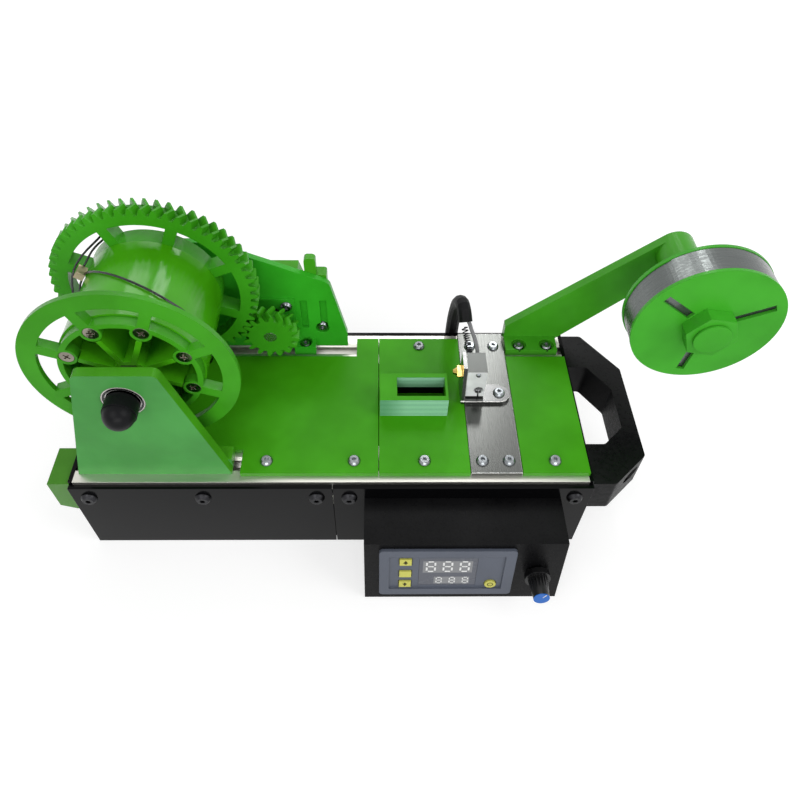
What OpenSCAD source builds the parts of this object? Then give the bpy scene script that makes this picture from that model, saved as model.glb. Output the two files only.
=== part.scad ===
// Bench extruder that turns cut plastic strip into filament.
// Origin: centre of the base on the bench. X runs along the frame, Y runs to the
// back, Z is up. A geared spool at the left pulls the strip from the reel at the
// right through the heated nozzle on the steel plate.

/* [Frame] */
// Height from the bench to the top of the profiles
body_h = 66; // [60:1:80]
// Length of the two profiles
body_l = 300; // [292:1:330]
// Width over both profiles
body_w = 116; // [110:1:130]
// Width and height of a profile
profile_s = 25; // [24:0.5:28]
// Width of a slot at the face of the profile
slot_mouth = 9.4; // [8:0.2:10]
// Width of a slot at its neck
slot_neck = 6.2; // [5.4:0.1:7]
// Width of the room behind the neck
slot_room = 12; // [11:0.1:13]
// Depth of the flared mouth
slot_flare = 1.4; // [1:0.1:2]
// Depth of the neck's inner end
slot_lip = 3; // [2.6:0.1:3.4]
// Depth of the straight part of the room
slot_wall = 5.9; // [5.8:0.1:6.2]
// Depth of the slot's floor
slot_floor = 7.9; // [7.4:0.1:8.4]
// Bore down the middle of a profile
profile_bore = 4.2; // [3:0.1:5]
// Thickness of the front and rear panels
panel_t = 3; // [2:0.5:4]
// Thickness of the end panels
end_t = 2.5; // [2:0.5:4]
// Strip of profile left bare above a front panel
panel_drop = 2.5; // [1:0.5:4]
// Joint line between neighbouring plates or panels
seam = 0.4; // [0.2:0.1:1]
// Thickness of the base plate
base_t = 3; // [2:0.5:5]
// Diameter of the posts between base plate and profiles
post_d = 14; // [12:0.5:18]
// Distance from the end of the frame to a post
post_inset = 20; // [15:1:30]

/* [Left end blocks] */
// Length of an end block
block_l = 12.5; // [8:0.5:20]
// Height of an end block
block_h = 28; // [20:1:34]
// Distance of its top below the profile top
block_drop = 2; // [0:0.5:5]
// Length of the sloping corner at its foot
block_slope_l = 9; // [4:0.5:11]
// Height of the sloping corner at its foot
block_slope_h = 4.2; // [2:0.2:8]

/* [Handle] */
// Reach of the handle from the end panel
handle_l = 35.5; // [32:0.5:45]
// Height of the handle
handle_h = 26; // [18:1:30]
// Distance of its top below the profile top
handle_drop = 3; // [1:0.5:6]
// Reach of a leg before the corner slopes
handle_leg = 14; // [12:0.5:16]
// Width of a leg
handle_leg_w = 28.2; // [26:0.2:32]
// Width of the grip bar
grip_w = 9.5; // [8:0.5:12]
// Width that the front corner slopes over
corner_front = 19.7; // [16:0.1:24]
// Width that the rear corner slopes over
corner_rear = 30; // [24:0.5:32]
// Rounding of the handle's outer corners
handle_round = 3; // [1:0.5:5]

/* [Deck plates] */
// Thickness of the deck plates
deck_t = 3; // [2:0.5:5]
// Length of the left plate
left_l = 176.9; // [170:0.1:180]
// Length of the middle plate
middle_l = 53.8; // [50:0.1:60]
// Length of the steel plate
steel_l = 30.3; // [28:0.1:34]
// Length of the right plate
right_l = 39.8; // [36:0.1:42]
// Distance of the plates' front edge behind the front of the frame
deck_inset = 4.1; // [2:0.1:6]
// Overlap of the short plates on the rear profile
deck_lap = 3.6; // [2:0.1:6]
// Distance of the long plates' rear edge from the rear of the frame
deck_rear = 5.5; // [4:0.1:8]
// Length of the notch that clears the front spool support
notch_l = 96.5; // [93:0.5:110]
// Width of that notch from the front of the frame
notch_w = 20.4; // [20.2:0.1:24]
// Length of the left plate's tongue on the rear profile
tongue_l = 14.7; // [12:0.1:16]

/* [Strip cutter] */
// Length of the cutter block
cutter_l = 41.6; // [36:0.2:44]
// Width of the cutter block
cutter_w = 21.3; // [20:0.1:26]
// Height of the cutter block
cutter_h = 15.5; // [10:0.5:22]
// Length of the slot
cut_slot_l = 29.5; // [22:0.5:30]
// Width of the slot
cut_slot_w = 14.4; // [10:0.2:15]

/* [Screws] */
// Shank diameter of the deck screws
deck_screw_d = 4; // [3:0.5:5]
// Head diameter of the deck screws
deck_head_d = 7.6; // [7:0.1:9]
// Head height of the deck screws
deck_head_h = 2.2; // [1.8:0.1:3]
// Shank diameter of the panel screws
panel_screw_d = 5; // [4:0.5:5.5]
// Head diameter of the panel screws
panel_head_d = 9.5; // [8:0.1:10.5]
// Head height of the panel screws
panel_head_h = 2.7; // [2:0.1:3.2]
// Distance of a panel screw from the end of its panel
panel_screw_in = 9.6; // [8:0.2:14]
// Clearance of a shank in a plain hole, on the diameter
hole_clear = 0.5; // [0.3:0.1:0.8]
// Clearance between pieces that fit together
fit_gap = 0.3; // [0.2:0.05:0.4]
// Length of a slot nut
nut_l = 9; // [7:0.5:12]

/* [Spool support] */
// Distance of the spool axis from the left end of the profiles
spool_in = 47; // [46:0.5:52]
// Height of the spool axis above the profiles
spool_up = 69; // [67:0.5:78]
// Height of the spool supports
support_h = 88.7; // [86:0.5:98]
// Width of a support at its foot
support_foot = 89; // [84:1:92]
// Width of a support at its top
support_top = 41.6; // [36:0.4:50]
// Rounding of a support's top corners
support_round = 4; // [3:0.5:10]
// Thickness of the front support
support_t = 6; // [4:0.5:7]
// Distance of the front support behind the front of the frame
support_in = 5.6; // [4:0.1:6]
// Depth of the front support's foot behind its wall
foot_l = 8.4; // [8:0.1:8.6]
// Height of the feet
foot_h = 7.5; // [5:0.5:10]
// Outer diameter of a bearing
bearing_od = 22; // [20:0.5:24]
// Width of a bearing
bearing_w = 7; // [6:0.5:8]
// Wall round a bearing
bearing_wall = 4; // [3:0.5:6]
// Lip behind a bearing
bearing_lip = 2; // [1.5:0.5:3]

/* [Rear bracket] */
// Distance of the bracket's rear face inside the rear of the frame
bracket_in = 5; // [4:0.5:6]
// Thickness of the bracket's wall
bracket_t = 4; // [3:0.5:5]
// Reach of the bracket to the right of the spool axis
bracket_reach = 109; // [106:1:116]
// Reach of its upper right corner
bracket_corner = 99; // [96:1:104]
// Height of its upper right corner
bracket_corner_h = 57; // [52:1:62]
// Height of its upright right edge
bracket_toe = 12; // [8:1:20]
// Reach of the level top to the right of the axis
bracket_level = 27; // [22:1:30]
// Width of the raised motor seat
seat_w = 24; // [22:1:26]
// Height that the raised seat stands out
seat_t = 1.5; // [1:0.1:2.5]
// Depth of the two recesses
recess_t = 2.4; // [1.5:0.1:2.8]

/* [Spool] */
// Outer diameter of the front flange
flange_d = 113.2; // [108:0.2:116]
// Inner diameter of the flange's rim
flange_in_d = 94.4; // [90:0.2:98]
// Thickness of the flange's rim
flange_t = 3; // [2:0.5:4]
// Depth of spokes and inner ring
spoke_t = 6; // [4:0.5:8]
// Width of a flange spoke
spoke_w = 6; // [4:0.5:8]
// Gap between the front support and the flange
flange_gap = 12.6; // [11:0.1:16]
// Outer diameter of the drum
drum_d = 76; // [72:1:80]
// Wall of the drum
drum_wall = 3; // [2:0.5:4]
// Outer diameter of the drum's hub
hub_d = 18; // [16:1:22]
// Thickness of a drum rib
rib_t = 3; // [2:0.5:4]
// Distance of the ribs behind the front of the flange
rib_back = 0; // [0:0.5:5]
// Number of spokes, ribs and screws
spoke_n = 8; // [6:1:10]
// Radius of the ring of screws
screw_r = 32.4; // [31:0.1:33]
// Diameter of a screw boss
boss_d = 11; // [10:0.5:11]
// Diameter of the axle
axle_d = 8; // [7:0.5:9]
// Diameter of the axle cap
cap_d = 17.5; // [16:0.5:20]
// Length of the cap's straight part
cap_l = 7.6; // [6:0.2:10]

/* [Gears] */
// Module of the gear pair
gear_module = 2; // [1.96:0.01:2.02]
// Teeth of the spool gear
gear_n = 57; // [56:1:58]
// Teeth of the pinion
pinion_n = 16; // [15:1:17]
// Width of the gear pair
gear_w = 10; // [8:0.5:11]
// Gap between the gear and the bracket's wall
gear_back = 11; // [10.5:0.1:12]
// Play between the flanks of the teeth
backlash = 0.4; // [0.3:0.05:0.6]
// Thickness of the gear's rim under the teeth
gear_rim = 6; // [5:0.5:8]
// Width of a gear spoke
gear_spoke_w = 6.4; // [5:0.2:8]
// Angle of the pinion below the spool axis
mesh_angle = 31.8; // [30:0.1:33]
// Angle that the teeth lean by
helix_angle = 30; // [20:1:32]

/* [Wire] */
// Diameter of the wire on the drum
wire_d = 1.2; // [1:0.1:1.5]
// Gap between the wire and the drum
wire_gap = 0.6; // [0.4:0.1:1]
// Width across the brass clamp
clamp_s = 5; // [4:0.5:6]

/* [Motor] */
// Diameter of the motor's output shaft
shaft_d = 8; // [6:0.5:8]
// Length of the gearbox
box_l = 58; // [50:1:62]
// Height of the gearbox
box_h = 40; // [36:1:41]
// Depth of the gearbox
box_w = 20; // [18:0.5:21]
// Distance of the shaft from the gearbox's right end
box_off = 13.5; // [12:0.5:14]
// Diameter of the motor can
can_d = 18; // [16:0.5:19]
// Length of the motor can
can_l = 34; // [28:1:38]
// Wall of the motor cover
cover_wall = 2; // [1.5:0.1:2.2]
// Length of the cover
cover_l = 64; // [63:0.5:66]

/* [Nozzle and heater] */
// Diameter of the bore in the heater block
heater_bore = 6; // [5.5:0.1:6.5]
// Height of the heater block
heater_h = 23; // [20:0.5:25]
// Length of the heater block along Y
heater_l = 16; // [14:0.5:18]
// Thickness of the heater block along X
heater_w = 12; // [11:0.5:13]
// Thickness of the steel angle that carries it
angle_t = 2.5; // [2:0.1:3]
// Width of the angle
angle_w = 14; // [12.5:0.5:16]
// Height of the angle's upright leaf
angle_h = 29; // [26:0.5:34]
// Length of the angle's flat leaf
angle_l = 31.6; // [31:0.2:33]
// Width across the flats of the nozzle
nozzle_af = 7; // [6:0.5:8]
// Diameter of the black sleeve on the leads
sleeve_d = 9; // [8:0.5:10]
// Outer diameter of the spring on the sensor lead
spring_d = 4.6; // [4:0.1:5]
// Thickness of the spring's wire
spring_wire = 0.8; // [0.7:0.05:0.9]
// Diameter of the heater lead
lead_d = 2.6; // [2:0.1:3]

/* [Reel and arm] */
// Distance of the arm's foot from the right end of the profiles
arm_in = 38.3; // [36:0.1:42]
// Length of the arm's foot
arm_foot = 34.5; // [32:0.5:38]
// Width of the arm's foot
arm_foot_w = 19; // [18.5:0.1:20]
// Height of the arm's foot
arm_foot_h = 5; // [4:0.5:7]
// Thickness of the arm
arm_t = 6; // [4:0.5:7]
// Width of the arm
arm_w = 24; // [20:1:26]
// Distance of the reel axis from the right end of the profiles
reel_out = 56; // [54:1:70]
// Height of the reel axis above the profiles
reel_up = 78; // [70:1:90]
// Diameter of the reel's discs
reel_d = 81.6; // [74:0.4:90]
// Thickness of a reel disc
reel_t = 2; // [1.5:0.1:3]
// Width over the reel
reel_w = 20.5; // [16:0.5:22]
// Distance of the reel's front face behind the front of the frame
reel_in = 50; // [48:1:54]
// Diameter of the wound strip
roll_d = 81; // [60:0.5:81]
// Thickness of the strip
strip_t = 0.4; // [0.3:0.05:0.6]
// Diameter of the reel's hub
reel_hub_d = 26; // [24:1:28]
// Diameter of the reel's axle
reel_axle_d = 12; // [10:0.5:14]
// Width across the flats of the reel nut
reel_nut_af = 26; // [24:0.5:30]
// Height of the reel nut
reel_nut_h = 8.2; // [6:0.2:10]
// Width of a slot in the reel's discs
reel_slot_w = 4.6; // [2:0.2:5]

/* [Control box] */
// Length of the control box
ctl_l = 116.5; // [112:0.5:120]
// Distance of its right end from the right end of the profiles
ctl_in = 15; // [12:0.5:20]
// Distance of its top below the profile top
ctl_drop = 13.2; // [8:0.2:16]
// Reach of its top edge from the front panel
ctl_top = 29.5; // [24:0.5:34]
// Reach of its foot from the front panel
ctl_foot = 38.1; // [36:0.5:44]
// Wall of the control box
ctl_wall = 2.4; // [2:0.2:3]
// Length of the controller's bezel
bezel_l = 79; // [76:0.5:82]
// Height of the controller's bezel
bezel_h = 43; // [40:0.5:45]
// Thickness of the bezel
bezel_t = 2; // [1.5:0.1:3]
// Length of the sunk display field
field_l = 67; // [64:0.5:70]
// Height of the sunk display field
field_h = 32.1; // [30:0.1:35]
// Depth of the controller's case
case_t = 24; // [18:0.5:25]
// Width of a small key
key_l = 7; // [6:0.2:8]
// Height of a small key
key_h = 5.6; // [5:0.1:6]
// Diameter of the round key
key_d = 6.8; // [6:0.2:8]
// Diameter of the knob's skirt
knob_d = 15; // [13:0.2:16]
// Diameter of the knob's blue cap
knob_cap_d = 9.4; // [8:0.2:10]
// Length of the knob
knob_h = 16; // [12:0.5:18]

/* [Hidden] */
$fn = 64;
// Overrun of every cut
over = 1;
// Clearance between pieces of different bodies
run_gap = 0.4;
// Running clearance of a shaft, on the radius
run_fit = 0.05;
green = [0.3, 0.68, 0.24];
black = [0.09, 0.09, 0.1];
steel = [0.72, 0.73, 0.74];
zinc = [0.82, 0.83, 0.85];
brass = [0.8, 0.62, 0.25];

// Frame places
half_l = body_l / 2;
half_w = body_w / 2;
rail_y = half_w - profile_s / 2;
rail_z = body_h - profile_s / 2;
end_x = half_l + end_t;
skin_y = half_w + panel_t;
// Deck places
deck_z = body_h + deck_t;
left_x1 = -half_l + left_l;
middle_x1 = left_x1 + middle_l;
steel_x1 = middle_x1 + steel_l;
right_x1 = steel_x1 + right_l;
deck_y0 = -half_w + deck_inset;
deck_y1 = half_w - deck_rear;
lap_y1 = half_w - profile_s + deck_lap;
steel_in = 0.8;
// Shares of each plate's length at which its screws stand
left_screw_shares = [0.628, 0.918];
middle_screw_share = 0.5;
steel_screw_shares = [0.24, 0.76];
right_screw_share = 0.5;
// Head form
head_edge_share = 0.45;
socket_share = 0.35;
socket_depth_share = 0.6;
nut_t = 2.5;
nut_reach = 2.2;
// Supports
spool_x = -half_l + spool_in;
spool_z = body_h + spool_up;
sup_y0 = -half_w + support_in;
sup_y1 = sup_y0 + support_t;
seat_gap = 0.1;
br_y1 = half_w - bracket_in;
br_y0 = br_y1 - bracket_t;
foot_in = 7.5;
foot_len = 14.1;
counter_d = 9;
counter_t = 3;
// Spool
flange_y0 = sup_y1 + flange_gap;
drum_y0 = flange_y0 + spoke_t;
hub_y0 = flange_y0 + rib_back;
gear_y1 = br_y0 - gear_back;
gear_y0 = gear_y1 - gear_w;
ring_w = 10.4;
flange_lip = 1;
bear_f_y0 = sup_y0;
bear_r_y0 = br_y1 - bearing_w;
axle_nut_af = 13;
axle_nut_t = 5.6;
spacer_d = 11;
screw_d = 4;
screw_head_d = 7.8;
screw_len = 14;
// Gears
gear_r = gear_module * gear_n / 2;
pinion_r = gear_module * pinion_n / 2;
centres = gear_r + pinion_r;
pinion_x = spool_x + centres * cos(mesh_angle);
pinion_z = spool_z - centres * sin(mesh_angle);
addendum_share = 0.96;
flank_shares = [-0.4, 0, 0.5, 1];
dedendum_share = 1.2;
pressure = 20;
gear_lean = helix_lean(gear_r);
pinion_lean = helix_lean(pinion_r);
pinion_hub_d = 15;
pinion_hub_t = 6;
// Motor
motor_boss_d = 12;
motor_boss_t = 2.6;
box_x1 = pinion_x + box_off;
cover_x1 = box_x1 + fit_gap + cover_wall;
cover_slope = 4.8;
cover_step = 17;
// Hot end
angle_x0 = middle_x1 - angle_t;
angle_back = 61.5;
angle_y0 = half_w - angle_back;
heater_step = 3.3;
heater_y0 = angle_y0 + heater_step;
heater_up = 7;
heater_z0 = body_h + heater_up;
heater_x0 = angle_x0 + angle_t;
nozzle_y = heater_y0 + heater_l / 2;
nozzle_drop = 8.5;
nozzle_z = heater_z0 + heater_h - nozzle_drop;
nozzle_hex = 3;
nozzle_cone = 2.4;
nozzle_tip_d = 2.4;
nozzle_bore_d = 1.75;
strip_hole_d = 4;
bore_share = [0.675, 0.26];
bore_x = heater_x0 + heater_w * bore_share[0];
bore_z = heater_z0 + heater_h * bore_share[1];
// Arm and reel
arm_x0 = half_l - arm_in;
bracket_over = 1.5;
arm_y1 = half_w + bracket_over;
arm_y0 = arm_y1 - arm_t;
reel_x = half_l + reel_out;
reel_z = body_h + reel_up;
reel_y0 = -half_w + reel_in;
reel_y1 = reel_y0 + reel_w;
arm_rise = 44;
// Control box
ctl_x1 = half_l - ctl_in;
ctl_x0 = ctl_x1 - ctl_l;
ctl_z1 = body_h - ctl_drop;
ctl_z0 = 0.3;
face_tilt = atan((ctl_foot - ctl_top) / (ctl_z1 - ctl_z0));
face_len = norm([ctl_foot - ctl_top, ctl_z1 - ctl_z0]);
bezel_x = 8.7;
bezel_u = 4.2;
bezel_r = 2.4;
field_x = 5.8;
field_u = 5.3;
field_t = 1.2;
key_x = 11.8;
key_us_share = [0.26, 0.53, 0.765];
key_gap = 0.35;
key_out = 0.9;
key_stem = 2.5;
round_x = 66.2;
round_u = 33.3;
knob_x = 101.5;
knob_u = 27.4;
knob_gap = 0.6;
pot_d = 7;
pot_shaft_d = 6;

// ---- shared shapes and functions ----

function unit(v) = v / norm(v);
function helix_lean(r) = atan(gear_w / 2 * tan(helix_angle) / r);
function inv(a) = tan(a) * 180 / PI - a;

// Outline with each corner i rounded to radius r[i]
function rounded(p, r, n = 8) = [for (i = [0:len(p) - 1]) each
  (r[i] <= 0 ? [p[i]] : corner(p[(i + len(p) - 1) % len(p)], p[i],
  p[(i + 1) % len(p)], r[i], n))];
function corner(a, b, c, r, n) = let(u = unit(a - b), v = unit(c - b),
  h = acos(u * v) / 2, m = b + unit(u + v) * r / sin(h),
  s = b + u * r / tan(h) - m, e = b + v * r / tan(h) - m,
  t0 = atan2(s[1], s[0]), d = atan2(e[1], e[0]) - t0,
  w = d > 180 ? d - 360 : d < -180 ? d + 360 : d)
  [for (k = [0:n]) m + r * [cos(t0 + w * k / n), sin(t0 + w * k / n)]];

// Outline in X and Z, t thick from y towards the back
module slab(y, t) {
  translate([0, y + t, 0]) rotate([90, 0, 0]) linear_extrude(t) children();
}

// Outline in X and Y, t thick from z upwards
module plate(z, t) {
  translate([0, 0, z]) linear_extrude(t) children();
}

// Rod along Y from y, of length t
module rod_y(x, z, y, t, d) {
  translate([x, y, z]) rotate([-90, 0, 0]) cylinder(d = d, h = t);
}

// Rod along X from x, of length t
module rod_x(x, y, z, t, d) {
  translate([x, y, z]) rotate([0, 90, 0]) cylinder(d = d, h = t);
}

// Rod along Z from z, of length t
module rod_z(x, y, z, t, d) {
  translate([x, y, z]) cylinder(d = d, h = t);
}

// Button head screw pointing down, its seat at zero
module button_screw(d, head_d, head_h, len) {
  difference() {
    union() {
      rotate_extrude() polygon([[0, 0], [head_d / 2, 0],
        [head_d / 2, head_h * head_edge_share * head_edge_share],
        [head_d * head_edge_share * cos(head_edge_share), head_h * (1 - head_edge_share)],
        [head_d * socket_share, head_h], [0, head_h]]);
      translate([0, 0, -len]) cylinder(d = d, h = len + head_h * head_edge_share / 2);
    }
    translate([0, 0, head_h * (1 - socket_depth_share)])
      cylinder(d = head_d * socket_share, h = head_h + over, $fn = 6);
  }
}

// Positions of the deck screws
function deck_places() = [
  for (s = left_screw_shares) [-half_l + left_l * s, -rail_y],
  [left_x1 + middle_l * middle_screw_share, -rail_y],
  [left_x1 + middle_l * middle_screw_share, rail_y],
  for (s = steel_screw_shares) [middle_x1 + steel_l * s, -rail_y],
  for (s = steel_screw_shares) [middle_x1 + steel_l * s, rail_y],
  [steel_x1 + right_l * right_screw_share, -rail_y]];
// Positions of the panel screws along X
function panel_places() = [-end_x + panel_screw_in, -end_x / 2, -panel_screw_in,
  panel_screw_in, end_x - panel_screw_in];
// Positions of the screws in the bracket's and the arm's feet
function foot_places() = [[spool_x - support_foot / 2 + foot_in + foot_len / 2, rail_y],
  [pinion_x + foot_gap_x + foot_len / 2, rail_y]];
foot_gap_x = 12;
function arm_places() = [for (s = arm_screw_shares) [arm_x0 + arm_foot * s, rail_y]];
arm_screw_shares = [0.27, 0.81];
function front_foot_places() = [for (s = [-1, 1])
  [spool_x + s * support_foot * front_foot_share, -rail_y]];
front_foot_share = 0.36;
relief_h = 22;

// ---- frame ----

module slot_cut() {
  polygon([[-slot_mouth / 2, over], [-slot_mouth / 2, 0], [-slot_neck / 2, -slot_flare],
    [-slot_neck / 2, -slot_lip], [-slot_room / 2, -slot_lip], [-slot_room / 2, -slot_wall],
    [-slot_neck / 2 + slot_flare / 2, -slot_floor], [slot_neck / 2 - slot_flare / 2, -slot_floor],
    [slot_room / 2, -slot_wall], [slot_room / 2, -slot_lip], [slot_neck / 2, -slot_lip],
    [slot_neck / 2, -slot_flare], [slot_mouth / 2, 0], [slot_mouth / 2, over]]);
}

module profile(y) {
  translate([-half_l, y, rail_z]) rotate([90, 0, 90]) linear_extrude(body_l) difference() {
    square(profile_s, center = true);
    for (a = [0:90:270]) rotate(a) translate([0, profile_s / 2]) slot_cut();
    circle(d = profile_bore);
  }
}

module profile_front() {
  color(steel) profile(-rail_y);
}

module profile_rear() {
  color(steel) profile(rail_y);
}

// Panel along X from x0 to x1 with a row of screw holes
module long_panel(x0, x1, y, z1) {
  difference() {
    translate([x0, y, 0]) cube([x1 - x0, panel_t, z1]);
    for (x = panel_places()) if (x > x0 && x < x1)
      rod_y(x, rail_z, y - over, panel_t + 2 * over, panel_screw_d + hole_clear);
  }
}

module panel_front_left() {
  color(black) long_panel(-end_x, -seam / 2, -skin_y, body_h - panel_drop);
}

module panel_front_right() {
  color(black) long_panel(seam / 2, end_x, -skin_y, body_h - panel_drop);
}

module panel_rear() {
  color(black) difference() {
    long_panel(-end_x, end_x, half_w, body_h);
    rod_y(sleeve_x, sleeve_z, half_w - over, panel_t + 2 * over, grommet_d + 2 * fit_gap);
    rod_y(inlet_x, inlet_z, half_w - over, panel_t + 2 * over, inlet_d + 2 * seat_gap);
  }
}

// Round power inlet in the rear panel
module dc_inlet() {
  y1 = skin_y + inlet_lip;
  color(black) difference() {
    union() {
      rod_y(inlet_x, inlet_z, y1 - inlet_l, inlet_l, inlet_d);
      rod_y(inlet_x, inlet_z, skin_y, inlet_lip, inlet_d + 2 * inlet_lip);
      rod_y(inlet_x, inlet_z, half_w - inlet_lip, inlet_lip, inlet_d + 2 * inlet_lip);
    }
    rod_y(inlet_x, inlet_z, y1 - plug_l, plug_l + over, plug_d);
  }
}
inlet_lip = 1.5;
inlet_l = 16;
plug_l = 10;
plug_d = 5.7;
inlet_d = 11;
inlet_in = 55;
inlet_x = end_x - inlet_in;
inlet_up = 17;
inlet_z = base_t + inlet_up;

module end_panel(x) {
  difference() {
    translate([x, -half_w + fit_gap, base_t + fit_gap])
      cube([end_t, body_w - 2 * fit_gap, body_h - base_t - fit_gap]);
    for (y = [-rail_y, rail_y])
      rod_x(x - over, y, rail_z, end_t + 2 * over, panel_screw_d + hole_clear);
  }
}

module end_panel_left() {
  color(black) end_panel(-end_x);
}

module end_panel_right() {
  color(black) end_panel(half_l);
}

module base_plate() {
  color(black) difference() {
    translate([-end_x, -half_w + fit_gap, 0]) cube([2 * end_x, body_w - 2 * fit_gap, base_t]);
    for (p = post_places()) {
      rod_z(p[0], p[1], -over, base_t + 2 * over, base_screw_d + hole_clear);
      translate([p[0], p[1], 0]) cylinder(d1 = 2 * base_screw_d + hole_clear,
        d2 = base_screw_d + hole_clear, h = base_screw_d / 2);
    }
  }
}
base_screw_d = 4;
function post_places() = [for (x = [-half_l + post_inset, half_l - post_inset])
  for (y = [-rail_y, rail_y]) [x, y]];

module base_posts() {
  color(zinc) for (p = post_places()) difference() {
    rod_z(p[0], p[1], base_t, body_h - profile_s - base_t, post_d);
    rod_z(p[0], p[1], base_t - over, post_bore_l + over, base_screw_d);
  }
}
post_bore_l = 12;

module end_block(y) {
  x0 = -end_x - block_l;
  z1 = body_h - block_drop;
  translate([0, y, 0]) difference() {
    slab(0, profile_s) polygon([[x0, z1], [x0, z1 - block_h + block_slope_h],
      [x0 + block_slope_l, z1 - block_h], [-end_x, z1 - block_h], [-end_x, z1]]);
    rod_x(x0 - over, profile_s / 2, rail_z, block_l + 2 * over, panel_screw_d + hole_clear);
    rod_x(x0 - over, profile_s / 2, rail_z, counter_t + over, panel_head_d + hole_clear);
  }
}

module end_block_front() {
  color(green) end_block(-half_w);
}

module end_block_rear() {
  color(green) end_block(half_w - profile_s);
}

// Flat D shaped handle, open to the end panel
module handle() {
  y0 = -half_w + fit_gap;
  y1 = skin_y - handle_edge;
  x1 = end_x + handle_l;
  xl = end_x + handle_leg;
  w0 = y0 + handle_leg_w;
  w1 = y1 - handle_leg_w;
  xw = x1 - grip_w;
  z0 = body_h - handle_drop - handle_h;
  color(black) difference() {
    plate(z0, handle_h) difference() {
      polygon(rounded([[end_x, y0], [xl, y0], [x1, y0 + corner_front],
        [x1, y1 - corner_rear], [xl, y1], [end_x, y1]],
        [0, handle_round, handle_round, handle_round, handle_round, 0]));
      polygon(rounded([[end_x - over, w0], [xl - over, w0], [xw, w0 + corner_front * win_share],
        [xw, w1 - corner_rear * win_share], [xl - over, w1], [end_x - over, w1]],
        [0, handle_round, handle_round, handle_round, handle_round, 0]));
    }
    for (y = [-rail_y, rail_y]) {
      rod_x(end_x - over, y, rail_z, handle_l + over, panel_screw_d + hole_clear);
      rod_x(end_x + handle_floor, y, rail_z, handle_l, panel_head_d + hole_clear);
    }
  }
}
win_share = 0.64;
handle_edge = 0.5;
handle_floor = 6;

// ---- deck ----

module deck_holes(z, t) {
  for (p = deck_places())
    rod_z(p[0], p[1], z - over, t + 2 * over, deck_screw_d + hole_clear);
}

module plate_left() {
  color(green) difference() {
    plate(body_h, deck_t) polygon([[-half_l, -half_w + notch_w],
      [-half_l + notch_l, -half_w + notch_w], [-half_l + notch_l, deck_y0],
      [left_x1 - seam / 2, deck_y0], [left_x1 - seam / 2, deck_y1],
      [left_x1 - tongue_l, deck_y1], [left_x1 - tongue_l, lap_y1], [-half_l, lap_y1]]);
    deck_holes(body_h, deck_t);
  }
}

module plate_middle() {
  color(green) difference() {
    translate([left_x1 + seam / 2, deck_y0, body_h])
      cube([middle_l - seam, deck_y1 - deck_y0, deck_t]);
    deck_holes(body_h, deck_t);
    translate([cut_x0, cut_y0, body_h - over]) cube([cut_slot_l, cut_slot_w, deck_t + 2 * over]);
  }
}

module plate_steel() {
  color(steel) difference() {
    translate([middle_x1 + seam / 2, -half_w + deck_inset, body_h])
      cube([steel_l - seam, body_w - deck_inset - steel_in, deck_t]);
    deck_holes(body_h, deck_t);
    rod_z(angle_screw_x, angle_screw_y, body_h - over, deck_t + 2 * over, deck_screw_d);
  }
}

module plate_right() {
  color(green) difference() {
    translate([steel_x1 + seam / 2, deck_y0, body_h])
      cube([right_l - seam, lap_y1 - deck_y0, deck_t]);
    deck_holes(body_h, deck_t);
  }
}

// Cutter block over the middle plate, its slot goes right through
cutter_in = 0.7;
cutter_x = left_x1 + cutter_in;
cutter_front = 45.5;
cutter_y = -half_w + cutter_front;
cut_edge = 1.6;
cut_x0 = cutter_x + cutter_l - cut_slot_l - cut_edge;
cut_y0 = cutter_y + (cutter_w - cut_slot_w) / 2;
module cutter_block() {
  color(green) difference() {
    translate([cutter_x, cutter_y, deck_z]) cube([cutter_l, cutter_w, cutter_h]);
    translate([cut_x0, cut_y0, deck_z - over])
      cube([cut_slot_l, cut_slot_w, cutter_h + 2 * over]);
  }
}

module deck_screws() {
  color(zinc) {
    for (p = deck_places()) translate([p[0], p[1], deck_z])
      button_screw(deck_screw_d, deck_head_d, deck_head_h, deck_t + slot_lip + nut_t);
    for (p = concat(foot_places(), front_foot_places())) translate([p[0], p[1],
      body_h + foot_h - counter_t]) button_screw(deck_screw_d, deck_head_d, deck_head_h,
      foot_h - counter_t + slot_lip + nut_t);
    for (p = arm_places()) translate([p[0], p[1], body_h + arm_foot_h - counter_t + over])
      button_screw(deck_screw_d, deck_head_d, deck_head_h,
      arm_foot_h - counter_t + over + slot_lip + nut_t);
  }
}

module panel_screws() {
  len = panel_t + slot_lip + nut_t;
  color(black) {
    for (p = post_places()) difference() {
      translate([p[0], p[1], seat_gap]) union() {
        cylinder(d1 = 2 * base_screw_d - hole_clear, d2 = base_screw_d, h = base_screw_d / 2);
        cylinder(d = base_screw_d, h = base_t + post_bore_l - over);
      }
      rod_z(p[0], p[1], -over, over + base_t / 2, base_screw_d / 2);
    }
    for (x = panel_places()) translate([x, -skin_y, rail_z]) rotate([90, 0, 0])
      button_screw(panel_screw_d, panel_head_d, panel_head_h, len);
    for (x = panel_places()) translate([x, skin_y, rail_z]) rotate([-90, 0, 0])
      button_screw(panel_screw_d, panel_head_d, panel_head_h, len);
    for (y = [-rail_y, rail_y]) {
      translate([-end_x - block_l + counter_t, y, rail_z]) rotate([0, -90, 0])
        button_screw(panel_screw_d, panel_head_d, panel_head_h, block_l - counter_t + end_t);
      translate([end_x + handle_floor, y, rail_z]) rotate([0, 90, 0])
        button_screw(panel_screw_d, panel_head_d, panel_head_h, handle_floor + end_t);
    }
  }
}

// Slot nut whose seat is at zero, hanging down
module slot_nut(d) {
  difference() {
    translate([-nut_l / 2, -slot_room / 2 + fit_gap, -nut_t])
      cube([nut_l, slot_room - 2 * fit_gap, nut_t]);
    translate([0, 0, -nut_t - over]) cylinder(d = d, h = nut_t + 2 * over);
  }
}

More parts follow.
